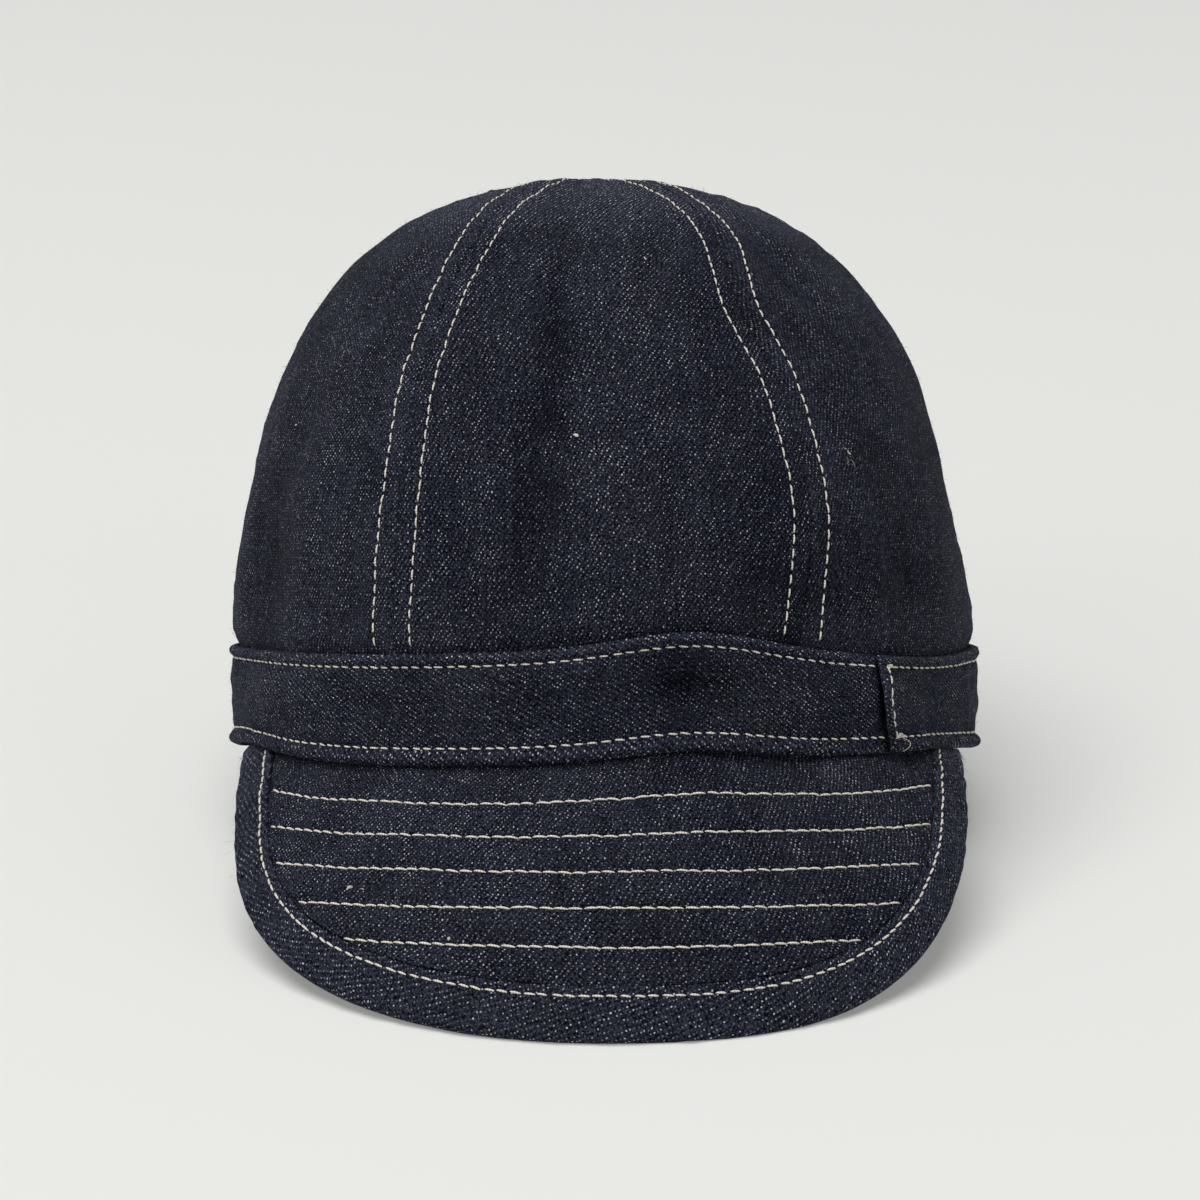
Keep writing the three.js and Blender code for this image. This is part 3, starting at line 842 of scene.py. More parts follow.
def gore(place, material):
    climb = CLIMBS[:, None]
    length = CLIMB_LENGTHS[:, None]
    first = seam_azimuth(place, climb)
    last = seam_azimuth(place + 1, climb)
    scale = millimetres_per_degree((first + last) / 2, climb)
    start = first + SEAM_GAP / millimetres_per_degree(first, climb)
    end = last - SEAM_GAP / millimetres_per_degree(last, climb)
    width = (end - start) * scale

    seam_share = np.linspace(0, SEAM_COLUMN_SHARE, len(SEAM_COLUMNS))[None, :]
    near = np.minimum(np.array(SEAM_COLUMNS)[None, :], seam_share * width)
    middle_count = int(width[0, 0] / GORE_MIDDLE_STEP)
    middle = np.linspace(0, 1, middle_count)[None, 1:-1]
    inside = mix(near[:, -1:], width - near[:, -1:], middle)
    across = np.concatenate([near, inside, (width - near)[:, ::-1]], axis=1)
    azimuth = mix(start, end, across / width)

    from_last = width - across
    from_seam = np.minimum(across, from_last)
    off = np.where(
        across < from_last,
        crown_relief(across, length, place, azimuth, climb),
        crown_relief(from_last, length, place + 1, azimuth, climb),
    )
    outer = crown_point(azimuth, climb, off)
    depth = CROWN_WALL + ALLOWANCE_WALL * (1 - ease(*ALLOWANCE_FADE, from_seam))
    # Neighbouring gores meet on the inside, so that no light comes through the seam
    inner = crown_point(mix(first, last, across / width), climb, off - depth)
    uv = stack(across - width / 2 + GORE_CLOTH_STEP * place, length)
    height = height_at(climb)
    wear_and_shading = SEAM_WEAR * bell(from_seam - 2.6, 2.2) + FOLD_WEAR_AND_SHADE * folds_at(azimuth, height)
    # Painted highlight: the top is coloured paler
    wear_and_shading = wear_and_shading + TOP_HIGHLIGHT * ease(*TOP_HIGHLIGHT_HEIGHTS, height)
    # Painted sheen: the top is greyed more
    haze_and_sheen = GORE_HAZE_AND_SHEEN[place] + TOP_SHEEN * ease(*TOP_SHEEN_HEIGHTS, height)
    sheet(GORES[place], material, outer, inner, uv, wear_and_shading, haze_and_sheen)


# Band

BAND_DEGREE = 1.6
BAND_STEP = 0.85
BAND_ROWS_PLAIN = 12
FOLD_ROUNDING = 1.2
FOLD_NOSE = 0.45
FOLD_GAPE = 1.3
BAND_GIRTH_ROW = 20

# Columns of the folded end, from its nose
FOLD_COLUMNS = [0, 0.06, 0.15, 0.3, 0.5, 0.75, 1.05, 1.4, 1.8, 2.3, 3.0]

# Depth, wavelength and seed of ripples
BAND_CRUMPLES = [(0.16, 16.0, 6), (0.08, 7.0, 7)]
BAND_PUCKER = (0.14, 5.0, 8)

# Depth and pitch of the twist that sewing gives the roped hem
ROPE_DEPTH = 0.17
ROPE_PITCH = 5.6

# Rubbed places: the hems and the nose of the folded end; and a painted shadow in the gap beside the
# folded end
HEM_WEAR = 0.9
NOSE_WEAR = 0.5
GAP_PAINTED_SHADOW = 2.0
GAP_TURN = 361


def band_rows():
    lower = np.array([distance for distance, _ in HEM_SECTION[:-1]])
    middle = np.linspace(lower[-1], BAND_HEIGHT - lower[-1], BAND_ROWS_PLAIN)[1:-1]
    return np.concatenate([lower, middle, BAND_HEIGHT - lower[::-1]])


def band_azimuths():
    near_end = np.array(FOLD_COLUMNS) / BAND_DEGREE
    count = int((360 + BAND_OVERLAP) * BAND_DEGREE / BAND_STEP)
    onwards = np.linspace(near_end[-1], 360 + BAND_OVERLAP, count)[1:]
    return BAND_END + np.concatenate([near_end, onwards])


def fold_share(past):
    """How full the rounded edge of the folded end is, from its nose inwards."""
    inwards = np.clip(past * BAND_DEGREE / FOLD_ROUNDING, 0, 1)
    return np.sqrt(1 - (1 - inwards) ** 2)


def band_base(past, height=0.0):
    """The band's folded end lies over its start and stands off it a little between its corners."""
    on_top = 1 - ease(BAND_OVERLAP + 0.5, BAND_OVERLAP + BAND_STEP_FADE, past)
    gape = FOLD_GAPE * bell(past * BAND_DEGREE, 2.6) * bell(height - BAND_HEIGHT / 2, 7.5)
    return PIECE_GAP + (BAND_WALL + PIECE_GAP) * on_top + gape


def band_turn(height, past):
    turn = np.interp(height, *np.array(BAND_END_TURN).T)
    return turn * (1 - ease(BAND_OVERLAP, BAND_OVERLAP + BAND_STEP_FADE, past))


def band_thickness(height, past):
    """Thickness of the strip, with its roped hems, at a height and a turn past its folded end."""
    edge = np.minimum(height, BAND_HEIGHT - height)
    thick = np.interp(edge, *np.array(HEM_SECTION).T)
    fuller = np.where(height < BAND_HEIGHT / 2, LOWER_HEM_SHARE, 1.0)
    thick = BAND_PLAIN + (thick - BAND_PLAIN) * np.where(thick > BAND_PLAIN, fuller, 1.0)
    girth = past * BAND_DEGREE
    uneven = 1.6 * ripple(stack(girth, edge), 30.0, 5)
    twist = ROPE_DEPTH * np.sin(2 * np.pi * (girth / ROPE_PITCH + edge * 0.16) + uneven)
    roped = twist * bell(edge - 1.3, 1.5)
    crumpled = crumple(stack(girth, height), BAND_CRUMPLES)
    puckers = crumple(stack(girth, 0 * edge), [BAND_PUCKER]) * bell(edge - 3.6, 2.0)
    covered = ease(360 - 6.0, 360 - 3.0, past)
    plain = mix(thick, BAND_WALL * 0.9, covered)
    return plain + (roped + crumpled + puckers) * (1 - covered) * ease(0, 0.6, edge)


def band_point(azimuth, height, distance):
    """Points off the crown's foot, where the lower hem droops over the peak."""
    point = crown_point(azimuth, climb_at(height), distance)
    droop = HEM_DROOP * (1 - ease(0, BAND_STITCH, height))
    return point - stack(0, 0, droop)


def band(material):
    heights = band_rows()[:, None]
    azimuths = band_azimuths()[None, :]
    past = azimuths - BAND_END
    base = band_base(past, heights)
    thick = band_thickness(heights, past)
    fold = fold_share(past)
    azimuth = azimuths + band_turn(heights, past)
    outer = band_point(azimuth, heights, base + thick * mix(FOLD_NOSE, 1, fold))
    inner = band_point(azimuth, heights, base + thick * (1 - fold) * FOLD_NOSE / 2)
    uv = stack(lengths_along(outer[BAND_GIRTH_ROW]) + BAND_CLOTH, heights)
    edge = np.minimum(heights, BAND_HEIGHT - heights)
    wear_and_shading = HEM_WEAR * bell(edge - 1.0, 1.1) + NOSE_WEAR * bell(past * BAND_DEGREE, 0.9)
    # Partly painted shade: the band is darkened at its middle
    dark = bell(turn_between(azimuth, BAND_DARK_AZIMUTH), BAND_DARK_SPREAD)
    wear_and_shading = wear_and_shading - BAND_DARK * ease(*BAND_DARK_FADE, edge) * dark
    # A painted shadow darkens the strip in the gap beside the folded end
    gap_shadow = bell(heights - 0.55 * BAND_HEIGHT, 0.4 * BAND_HEIGHT)
    gap_shadow = bell((GAP_TURN - past) * BAND_DEGREE, 1.4) * gap_shadow
    wear_and_shading = wear_and_shading + FOLD_WEAR_AND_SHADE * folds_at(azimuth, heights) - GAP_PAINTED_SHADOW * gap_shadow
    # Painted sheen: the band's sides are greyed more
    haze_and_sheen = BAND_HAZE + BAND_SIDE_SHEEN * ease(35, 75, np.abs(turn_between(azimuth, 0)))
    sheet("band", material, outer, inner, uv, wear_and_shading, haze_and_sheen)


# Peak

PEAK_COLUMNS = 255
PEAK_TUCKED = 1.6
PEAK_DEGREE = 1.7
QUILT_SHARES = [0, 0.03, 0.065, 0.11, 0.17, 0.24, 0.33, 0.42]
QUILT_SHARES += [0.5, 0.58, 0.67, 0.76, 0.83, 0.89, 0.935, 0.97]
LAST_QUILT = 9.5
PEAK_CROWDING = 0.6
PEAK_TAIL_ROWS = 8
PEAK_GIRTH_REACH = 20.0

# Depth, wavelength and seed of ripples
PEAK_CRUMPLES = [(0.15, 22.0, 21), (0.07, 9.0, 22)]
BINDING_CRUMPLES = [(0.1, 4.5, 51), (0.14, 14.0, 52), (0.09, 6.5, 53)]

# How much of the dents in the list the cloth's form takes up
DENT_SHARE = 0.5

# The binding's top and bottom, from the peak's plain upper face
BINDING_TOP = BINDING_WALL - PEAK_EDGE_RELIEF + PIECE_GAP
BINDING_BOTTOM = PEAK_EDGE_RELIEF / 2 - PEAK_WALL - PIECE_GAP - BINDING_WALL
BINDING_COLUMNS = 330
BINDING_NOSE_ROWS = 17
BINDING_FLAT_ROWS = 15
BINDING_BIAS = -37
BINDING_STRETCH = 1.25

# How deep lines of stitches and the binding's tucked edge sink, and a row's puckers
QUILT_SINK = 0.2
QUILT_DRAW = 0.06
BINDING_SINK = 0.25
TUCKED_EDGE_SINK = 0.35
QUILT_PUCKER = (0.14, 6.0)
QUILT_PUCKER_SEED = 40
QUILT_RIPPLE_STEP = 30.0
QUILT_ROUNDNESS = 0.7
QUILT_LEVEL = 0.6
UNDERSIDE_SHARE = 0.8


def peak_azimuths(spread, columns):
    share = np.linspace(1, -1, columns)
    return spread * mix(share, sine(90 * share), PEAK_CROWDING)


def quilt_lines(azimuth):
    """The foot of the peak, its rows of stitches and where the next row would be."""
    lines = [np.zeros_like(azimuth)]
    lines += [quilt_reach(row, azimuth) for row in range(len(QUILT_ROWS))]
    return lines + [lines[-1] + LAST_QUILT]


def quilt_relief(azimuth, reach):
    """Puffs between the rows of stitches, with puckers along each row."""
    azimuth, reach = np.broadcast_arrays(azimuth, reach)
    lines = quilt_lines(azimuth)
    relief = np.zeros(reach.shape)
    for low, high in zip(lines[:-1], lines[1:]):
        share = np.clip((reach - low) / (high - low), 0, 1)
        relief += np.sin(np.pi * share) ** QUILT_ROUNDNESS
    relief = QUILT_DEPTH * (relief - QUILT_LEVEL)
    for row, line in enumerate(lines[1:-1]):
        off = reach - line
        place = stack(azimuth * PEAK_DEGREE, QUILT_RIPPLE_STEP * row)
        drawn = QUILT_DRAW * np.sin(2 * np.pi * azimuth * PEAK_DEGREE / PEAK_STITCH_PITCH)
        pucker = crumple(place, [(*QUILT_PUCKER, QUILT_PUCKER_SEED + row)])
        relief += (pucker + drawn) * bell(off, 2.4)
        relief -= QUILT_SINK * bell(off, 0.5)
    return relief


def dents_at(azimuth, reach):
    out = 0
    for dent_azimuth, dent_reach, dent_out, wide, tall in PEAK_DENTS:
        out = out + dent_out * bell(azimuth - dent_azimuth, wide) * bell(reach - dent_reach, tall)
    return out


def peak_relief(azimuth, reach):
    place = peak_point(azimuth, reach, 0)
    relief = quilt_relief(azimuth, reach) + crumple(place, PEAK_CRUMPLES)
    return (relief + DENT_SHARE * dents_at(azimuth, reach)) * ease(0, 2.0, reach)


def peak_underside(azimuth, reach):
    """How far the under face stands off the upper face's plain surface."""
    relief = UNDERSIDE_SHARE * peak_relief(azimuth, reach)
    return -PEAK_WALL - relief - 0.08 * ease(0, 2.0, reach)


def peak(material):
    azimuth = peak_azimuths(PEAK_SPREAD - 2.5, PEAK_COLUMNS)[None, :]
    bound = peak_reach(azimuth, BINDING_WIDTH, BINDING_SIDE_SHARE)
    edge = peak_reach(azimuth, PEAK_EDGE_INSET, 1)
    step = np.maximum(bound - 0.5, 0)
    lines = quilt_lines(azimuth)
    strips = zip(lines[:-1], lines[1:])
    rows = [mix(low, high, share) for low, high in strips for share in QUILT_SHARES]
    tucked = np.array([-PEAK_TUCKED, -PEAK_TUCKED / 2])[:, None] + 0 * azimuth
    quilted = np.minimum(np.concatenate([tucked] + rows), step)
    tail = mix(step + 0.5, edge, np.linspace(0, 1, PEAK_TAIL_ROWS)[:, None])
    reach = np.concatenate([quilted, step, tail])
    count = len(quilted) + 1
    sink = np.full_like(reach, -PEAK_EDGE_RELIEF)
    sink[:count] = peak_relief(azimuth, reach[:count])
    under = np.full_like(reach, -PEAK_WALL + PEAK_EDGE_RELIEF / 2)
    under[:count] = peak_underside(azimuth, reach[:count])
    outer = peak_point(azimuth, reach, sink)
    inner = peak_point(azimuth, reach, under * peak_fullness(azimuth))
    uv = stack(lengths_along(peak_point(azimuth[0], PEAK_GIRTH_REACH, 0)) + PEAK_CLOTH, reach)
    # Puffs are rubbed paler; the dents add painted shade and light
    wear_and_shading = 0.25 * np.clip(sink / QUILT_DEPTH, 0, 1) + 2 * FOLD_WEAR_AND_SHADE * dents_at(azimuth, reach)
    sheet("peak", material, outer, inner, uv, wear_and_shading, PEAK_HAZE)


def binding_section():
    """Outer and inner lines of the folded strip: share of its width, distance from the fold, height."""
    middle = (BINDING_TOP + BINDING_BOTTOM) / 2
    half = (BINDING_TOP - BINDING_BOTTOM) / 2
    turn = np.linspace(90, -90, BINDING_NOSE_ROWS)
    flat = np.linspace(1, 0, BINDING_FLAT_ROWS)[:-1]
    nose = half * 0.95

    def line(shrink):
        arc_back = nose * (1 - cosine(turn) * (1 - shrink / nose))
        arc_off = middle + (half - shrink) * sine(turn)
        shares = np.concatenate([flat, np.zeros(len(turn)), flat[::-1]])
        backs = np.concatenate([np.full(len(flat), nose), arc_back, np.full(len(flat), nose)])
        high = np.full(len(flat), middle + half - shrink)
        low = np.full(len(flat), middle - half + shrink)
        return shares, backs, np.concatenate([high, arc_off, low])

    return line(0.0), line(BINDING_WALL)


def binding_relief(azimuth, reach, off):
    """Groove under the stitches, the tucked edge and soft crumples of the binding."""
    place = peak_point(azimuth, reach, off)
    stitch = peak_reach(azimuth, BINDING_STITCH, BINDING_SIDE_SHARE)
    start = binding_start(azimuth)
    stitched = BINDING_SINK * bell(reach - stitch, STITCH_SINK_WIDTH)
    tucked = TUCKED_EDGE_SINK * bell(reach - start, 0.4)
    return crumple(place, BINDING_CRUMPLES) - stitched - tucked


def binding_start(azimuth):
    return np.maximum(BINDING_START, peak_reach(azimuth, BINDING_WIDTH, BINDING_SIDE_SHARE))


def binding(material):
    azimuth = peak_azimuths(PEAK_SPREAD, BINDING_COLUMNS)[None, :]
    fold = peak_reach(azimuth, 0, 1)
    start = binding_start(azimuth)
    width = fold - start
    faces = []
    for shares, backs, offs in binding_section():
        back = np.minimum(backs[:, None], width * 0.5)
        reach = mix(fold - back, start, shares[:, None])
        faces.append((reach, offs[:, None] + 0 * reach))
    reach, off = faces[0]
    side = np.sign(off - off.mean())
    full = peak_fullness(azimuth)
    outer = peak_point(azimuth, reach, (off + side * binding_relief(azimuth, reach, off)) * full)
    inner = peak_point(azimuth, faces[1][0], faces[1][1] * full)
    girth = lengths_along(peak_point(azimuth[0], fold[0], 0))
    section = lengths_along(peak_point(azimuth, reach, off))
    section = section - section[len(section) // 2]
    level, steep = np.cos(radians(BINDING_BIAS)), np.sin(radians(BINDING_BIAS))
    uv = stack(girth * level + section * steep, section * level - girth * steep)
    uv = uv / BINDING_STRETCH + BINDING_CLOTH
    wear_and_shading = 0.2 + 0.45 * bell(fold - reach, 1.6) + 0.3 * bell(reach - start, 1.2)
    # Painted sheen: the binding is greyed more towards its sides
    haze_and_sheen = BINDING_HAZE_AND_SHEEN + BINDING_HAZE_AND_SHEEN * ease(25, 60, np.abs(azimuth))
    sheet("peak_binding", material, outer, inner, uv, wear_and_shading, haze_and_sheen)


# Stitches

STITCH_SIDES = 6
STITCH_RINGS = 7
END_STITCH = 0.95
THREAD_UV_STEP = 17.0

# First seed of each kind of row, and how much of its pitch each stitch fills
CROWN_SEED, CROWN_FILL = 100, 0.86
BAND_SEED, BAND_FILL = 130, 0.8
END_SEED, END_FILL = 140, 0.86
TACK_SEED, TACK_FILL = 150, 0.95
PEAK_SEED, PEAK_FILL = 160, 1.03
BINDING_SEED, BINDING_FILL = 180, 0.9
END_PITCH = 2.7
TACK_PITCH = 3.0
SLANT = 0.12
PEAK_SLANT = 0.15

# Points along the path of each kind of row
SEAM_SAMPLES = 240
BAND_SAMPLES = 1400
END_SAMPLES = 60
TACK_SAMPLES = 8
PEAK_SAMPLES = 400
BINDING_SAMPLES = 500

BAND_ROWS = [
    # height, turn past the folded end where the row ends
    (BAND_STITCH, 362.2),
    (BAND_HEIGHT - BAND_STITCH, 360.2),
]
BAND_ROW_START = 0.9
TACKS = [
    # turn past the folded end and height of its middle, how far it leans sideways and up (degrees, mm)
    (1.7, 21.0, 1.7, 0.3),
    (2.3, 21.5, 1.8, -0.2),
    (1.8, 21.6, 1.6, 0.4),
    (3.0, 21.2, 1.8, 0.1),
    (1.4, 2.9, 1.7, 0.5),
    (2.0, 3.4, 1.7, 0.1),
    (2.6, 3.7, 1.2, -0.4),
    (2.9, 3.1, 1.5, 0.5),
]


def tubes(name, centres, outward, radii, material, slot, sides=STITCH_SIDES, flat=0.85):
    """Closed tubes of thread or fibre along centre lines, all of the same number of rings."""
    count, rings = centres.shape[:2]
    along = unit(np.gradient(centres, axis=1))
    side = unit(np.cross(along, outward[:, None, :]))
    out = unit(np.cross(side, along))
    angle = np.linspace(0, 2 * np.pi, sides, endpoint=False)[:, None]
    ring = side[:, :, None, :] * np.cos(angle) + out[:, :, None, :] * np.sin(angle) * flat
    points = centres[:, :, None, :] + ring * radii[:, :, None, None]
    index = np.arange(count * rings * sides).reshape(count, rings, sides)
    after = np.roll(index, -1, axis=2)
    body = [index[:, :-1], after[:, :-1], after[:, 1:], index[:, 1:]]
    body = np.stack(body, axis=-1).reshape(-1, 4)
    caps = np.concatenate([index[:, 0, ::-1], index[:, -1]])
    u = lengths_along(centres, axis=1)[:, :, None] + THREAD_UV_STEP * np.arange(count)[:, None, None]
    uv = stack(u, np.arange(sides) / sides).reshape(-1, 2)
    piece = mesh_object(name, points.reshape(-1, 3), body.tolist() + caps.tolist(), uv, sharp=80)
    finish_piece(piece, material, slot)


def stitches(name, starts, ends, outward, radius, material, lift=0.55, tip=0.3):
    """One short tube of thread for each stitch, bowed out of the cloth between its two holes."""
    share = np.linspace(0, 1, STITCH_RINGS)
    swell = np.array([tip, 0.82, 1.0, 1.04, 1.0, 0.82, tip])
    bow = np.sin(np.pi * share) ** 0.6 * radius * (0.9 + lift) - radius * 0.5
    centres = starts[:, None, :] + (ends - starts)[:, None, :] * share[None, :, None]
    centres = centres + outward[:, None, :] * bow[None, :, None]
    radii = np.broadcast_to(radius * swell, centres.shape[:2])
    tubes(name, centres, outward, radii, material, "stitching")


def outward_at(surface, *place):
    """Directions out of a cloth face, once it rests on the table."""
    return unit(rest(surface(*place, 1.0)) - rest(surface(*place, 0.0)))


def stitch_line(surface, path, pitch, fill, seed, slant=0.0):
    """Stitch ends and outward directions along a path of surface coordinates on a cloth face."""
    random = np.random.default_rng(seed)
    length = lengths_along(rest(surface(*path, 0.0)))
    count = max(1, round(length[-1] / pitch))
    places = (np.arange(count) + 0.5) * length[-1] / count
    places = places + random.normal(0, 0.05 * pitch, count)
    half = pitch * fill / 2 * random.uniform(0.9, 1.08, count)

    def at(wanted):
        return [np.interp(wanted, length, part) for part in path]

    starts = rest(surface(*at(places - half), 0.0))
    ends = rest(surface(*at(places + half), 0.0))
    outward = outward_at(surface, *at(places))
    sideways = unit(np.cross(ends - starts, outward))
    lean = random.normal(slant, 0.05, count)[:, None] * sideways
    return starts - lean, ends + lean, outward


def gathered(lines):
    return [np.concatenate(parts) for parts in zip(*lines)]


def seam_row(seam, offset):
    """A row of topstitching beside a seam, from just above the band to the top."""
    above = CLIMBS[(height_at(CLIMBS) > BAND_HEIGHT + 0.4) & (round_at(CLIMBS) > 0.045)]
    climb = np.linspace(above[0], above[-1], SEAM_SAMPLES)
    seam_line = seam_azimuth(seam, climb)
    azimuth = seam_line + offset / millimetres_per_degree(seam_line, climb)
    return azimuth, climb


def crown_face(azimuth, climb, distance):
    """Points off the crown's dressed outer face, with its seams and crumples."""
    azimuth, climb = np.broadcast_arrays(azimuth, climb)
    length = np.interp(climb, CLIMBS, CLIMB_LENGTHS)
    scale = millimetres_per_degree(azimuth, climb)
    off = np.full(azimuth.shape, float(distance)) if np.isscalar(distance) else distance
    turns = [turn_between(azimuth, seam_azimuth(seam, climb)) for seam in range(len(SEAMS))]
    away = [np.abs(turn) * scale for turn in turns]
    nearest = np.argmin(away, axis=0)
    for seam, from_seam in enumerate(away):
        off = off + (nearest == seam) * crown_relief(from_seam, length, seam, azimuth, climb)
    return crown_point(azimuth, climb, off)


def crown_stitches(material):
    lines = []
    for seam in range(len(SEAMS)):
        for offset in (-TOPSTITCH_OFFSET, TOPSTITCH_OFFSET):
            path = seam_row(seam, offset)
            seed = CROWN_SEED + len(lines)
            lines.append(stitch_line(crown_face, path, STITCH_PITCH, CROWN_FILL, seed))
    stitches("crown_stitches", *gathered(lines), THREAD_RADIUS, material)


def band_face(azimuth, height, distance):
    past = azimuth - BAND_END
    thick = band_thickness(height, past)
    turned = azimuth + band_turn(height, past)
    return band_point(turned, height, band_base(past, height) + thick + distance)


def band_stitches(material):
    lines = []
    for number, (height, end) in enumerate(BAND_ROWS):
        around = np.linspace(BAND_END + BAND_ROW_START, BAND_END + end, BAND_SAMPLES)
        path = (around, height + 0 * around)
        seed = BAND_SEED + number
        lines.append(stitch_line(band_face, path, STITCH_PITCH, BAND_FILL, seed, SLANT))
    up = np.linspace(BAND_STITCH - 0.4, BAND_HEIGHT - BAND_STITCH + 0.4, END_SAMPLES)
    path = (BAND_END + END_STITCH + 0 * up, up)
    lines.append(stitch_line(band_face, path, END_PITCH, END_FILL, END_SEED))
    share = np.linspace(-0.5, 0.5, TACK_SAMPLES)
    for number, (turn, height, lean, rise) in enumerate(TACKS):
        path = (BAND_END + turn + lean * share, height + rise * share)
        lines.append(stitch_line(band_face, path, TACK_PITCH, TACK_FILL, TACK_SEED + number))
    stitches("band_stitches", *gathered(lines), THREAD_RADIUS * 0.97, material)


def peak_face(side):
    def face(azimuth, reach, distance):
        base = peak_relief(azimuth, reach) if side > 0 else peak_underside(azimuth, reach)
        return peak_point(azimuth, reach, base + side * distance)

    return face


def peak_stitches(material):
    lines = []
    azimuth = peak_azimuths(PEAK_SPREAD - 3, PEAK_SAMPLES)
    bound = peak_reach(azimuth, BINDING_WIDTH, BINDING_SIDE_SHARE)
    for row in range(len(QUILT_ROWS)):
        shown = azimuth[quilt_reach(row, azimuth) < bound - 0.4]
        path = (shown, quilt_reach(row, shown))
        for side in (1, -1):
            sewing = (PEAK_STITCH_PITCH, PEAK_FILL, PEAK_SEED + 2 * row + side, PEAK_SLANT)
            lines.append(stitch_line(peak_face(side), path, *sewing))
    stitches("peak_stitches", *gathered(lines), PEAK_THREAD_RADIUS, material, lift=0.8, tip=0.5)


def binding_face(side):
    off = BINDING_TOP if side > 0 else BINDING_BOTTOM

    def face(azimuth, reach, distance):
        base = (off + side * binding_relief(azimuth, reach, off)) * peak_fullness(azimuth)
        return peak_point(azimuth, reach, base + side * distance)

    return face


def binding_stitches(material):
    azimuth = peak_azimuths(PEAK_SPREAD - 0.8, BINDING_SAMPLES)
    reach = peak_reach(azimuth, BINDING_STITCH, BINDING_SIDE_SHARE)
    path = (azimuth[reach > 1.2], reach[reach > 1.2])
    lines = []
    for side in (1, -1):
        sewing = (STITCH_PITCH, BINDING_FILL, BINDING_SEED + side, SLANT)
        lines.append(stitch_line(binding_face(side), path, *sewing))
    stitches("peak_binding_stitches", *gathered(lines), PEAK_THREAD_RADIUS * 0.95, material)


# Fuzz and lint

FUZZ_SEED = 200
LINT_SEED = 210
FIBRE_RINGS = 4
FIBRE_SIDES = 3
FIBRE_RADIUS = 0.026
CROWN_FIBRES = 650
CROWN_NAP = 1250
LOWER_FIBRES = (1000, 900, 700)
LOWER_NAP = (1500, 700, 900)
NAP_RINGS = 3
NAP_RADIUS = 0.038
FIBRE_REACH = 1.0
FIBRE_ROOT = 0.02
CROWN_DEGREE = 1.4
PEAK_MIDDLE_DEGREE = 2.4
PEAK_RIM_DEGREE = 2.8
LINT_SIDES = 8
LINT_FLATNESS = 0.6
LINT = [
    # face, azimuth, height or reach, length, radius, heading (degrees from the wearer's left)
    ("crown", -4.0, 69.8, 1.3, 0.34, -25),
    ("crown", 10.0, 110.0, 1.1, 0.18, -70),
    ("crown", 42.6, 66.7, 1.2, 0.22, -50),
    ("crown", 41.9, 67.6, 1.4, 0.07, -20),
    ("crown", 43.4, 64.6, 2.2, 0.06, -60),
    ("crown", 42.2, 65.0, 1.8, 0.05, -95),
    ("crown", -62.5, 74.0, 0.7, 0.24, 20),
    ("crown", 47.0, 118.5, 1.6, 0.07, -30),
    ("crown", -40.5, 88.0, 0.6, 0.16, 60),
    ("peak", -30.0, 34.9, 2.0, 0.42, 18),
    ("peak", -28.2, 35.2, 1.0, 0.12, -10),
    ("peak", -16.4, 46.2, 0.8, 0.36, 80),
    ("peak", 34.4, 46.6, 1.8, 0.3, 15),
    ("crown", 146.0, 74.0, 1.2, 0.25, 30),
    ("crown", -152.0, 58.0, 1.0, 0.22, -40),
    ("crown", 98.0, 90.0, 1.1, 0.2, 70),
]


def crown_cloth_face(azimuth, length, distance):
    return crown_face(azimuth, np.interp(length, CLIMB_LENGTHS, CLIMBS), distance)


def crown_fibre_starts(random, gore_count):
    """Starts spread evenly over each gore, more where its cloth is greyed more."""
    azimuths, lengths = [], []
    foot = np.interp(BAND_HEIGHT + 1, height_at(CLIMBS), CLIMB_LENGTHS)
    for place, haze_and_sheen in enumerate(GORE_HAZE_AND_SHEEN):
        count = int(gore_count * (0.6 + 0.7 * haze_and_sheen))
        length = random.uniform(foot, CLIMB_LENGTHS[-1] - 4, 3 * count)
        climb = np.interp(length, CLIMB_LENGTHS, CLIMBS)
        kept = np.flatnonzero(random.uniform(0, 1, 3 * count) < round_at(climb))[:count]
        first, last = seam_azimuth(place, climb[kept]), seam_azimuth(place + 1, climb[kept])
        azimuths.append(mix(first, last, random.uniform(0, 1, len(kept))))
        lengths.append(length[kept])
    return np.concatenate(azimuths), np.concatenate(lengths)


def fibres_on(face, azimuth, place, degree, random):
    """Centre lines of loose fibres that start in a cloth face and curl over it."""
    count = len(azimuth)
    share = np.linspace(0, 1, FIBRE_RINGS)[None, :]
    length = random.lognormal(0.25, 0.45, (count, 1))
    turn = random.uniform(0, 2 * np.pi, (count, 1)) + random.normal(0, 1.5, (count, 1)) * share
    step = length / (FIBRE_RINGS - 1)
    sideways = np.cumsum(np.cos(turn), axis=1) * step
    along = np.cumsum(np.sin(turn), axis=1) * step
    lift = np.minimum(random.exponential(0.3, (count, 1)), FIBRE_REACH)
    off = lift * np.sin(np.pi * share * random.uniform(0.4, 1.0, (count, 1))) - FIBRE_ROOT
    centres = rest(face(azimuth[:, None] + sideways / degree, place[:, None] + along, off))
    radii = FIBRE_RADIUS * random.uniform(0.7, 1.3, (count, 1)) * (1 - 0.5 * share)
    return centres, outward_at(face, azimuth, place), radii


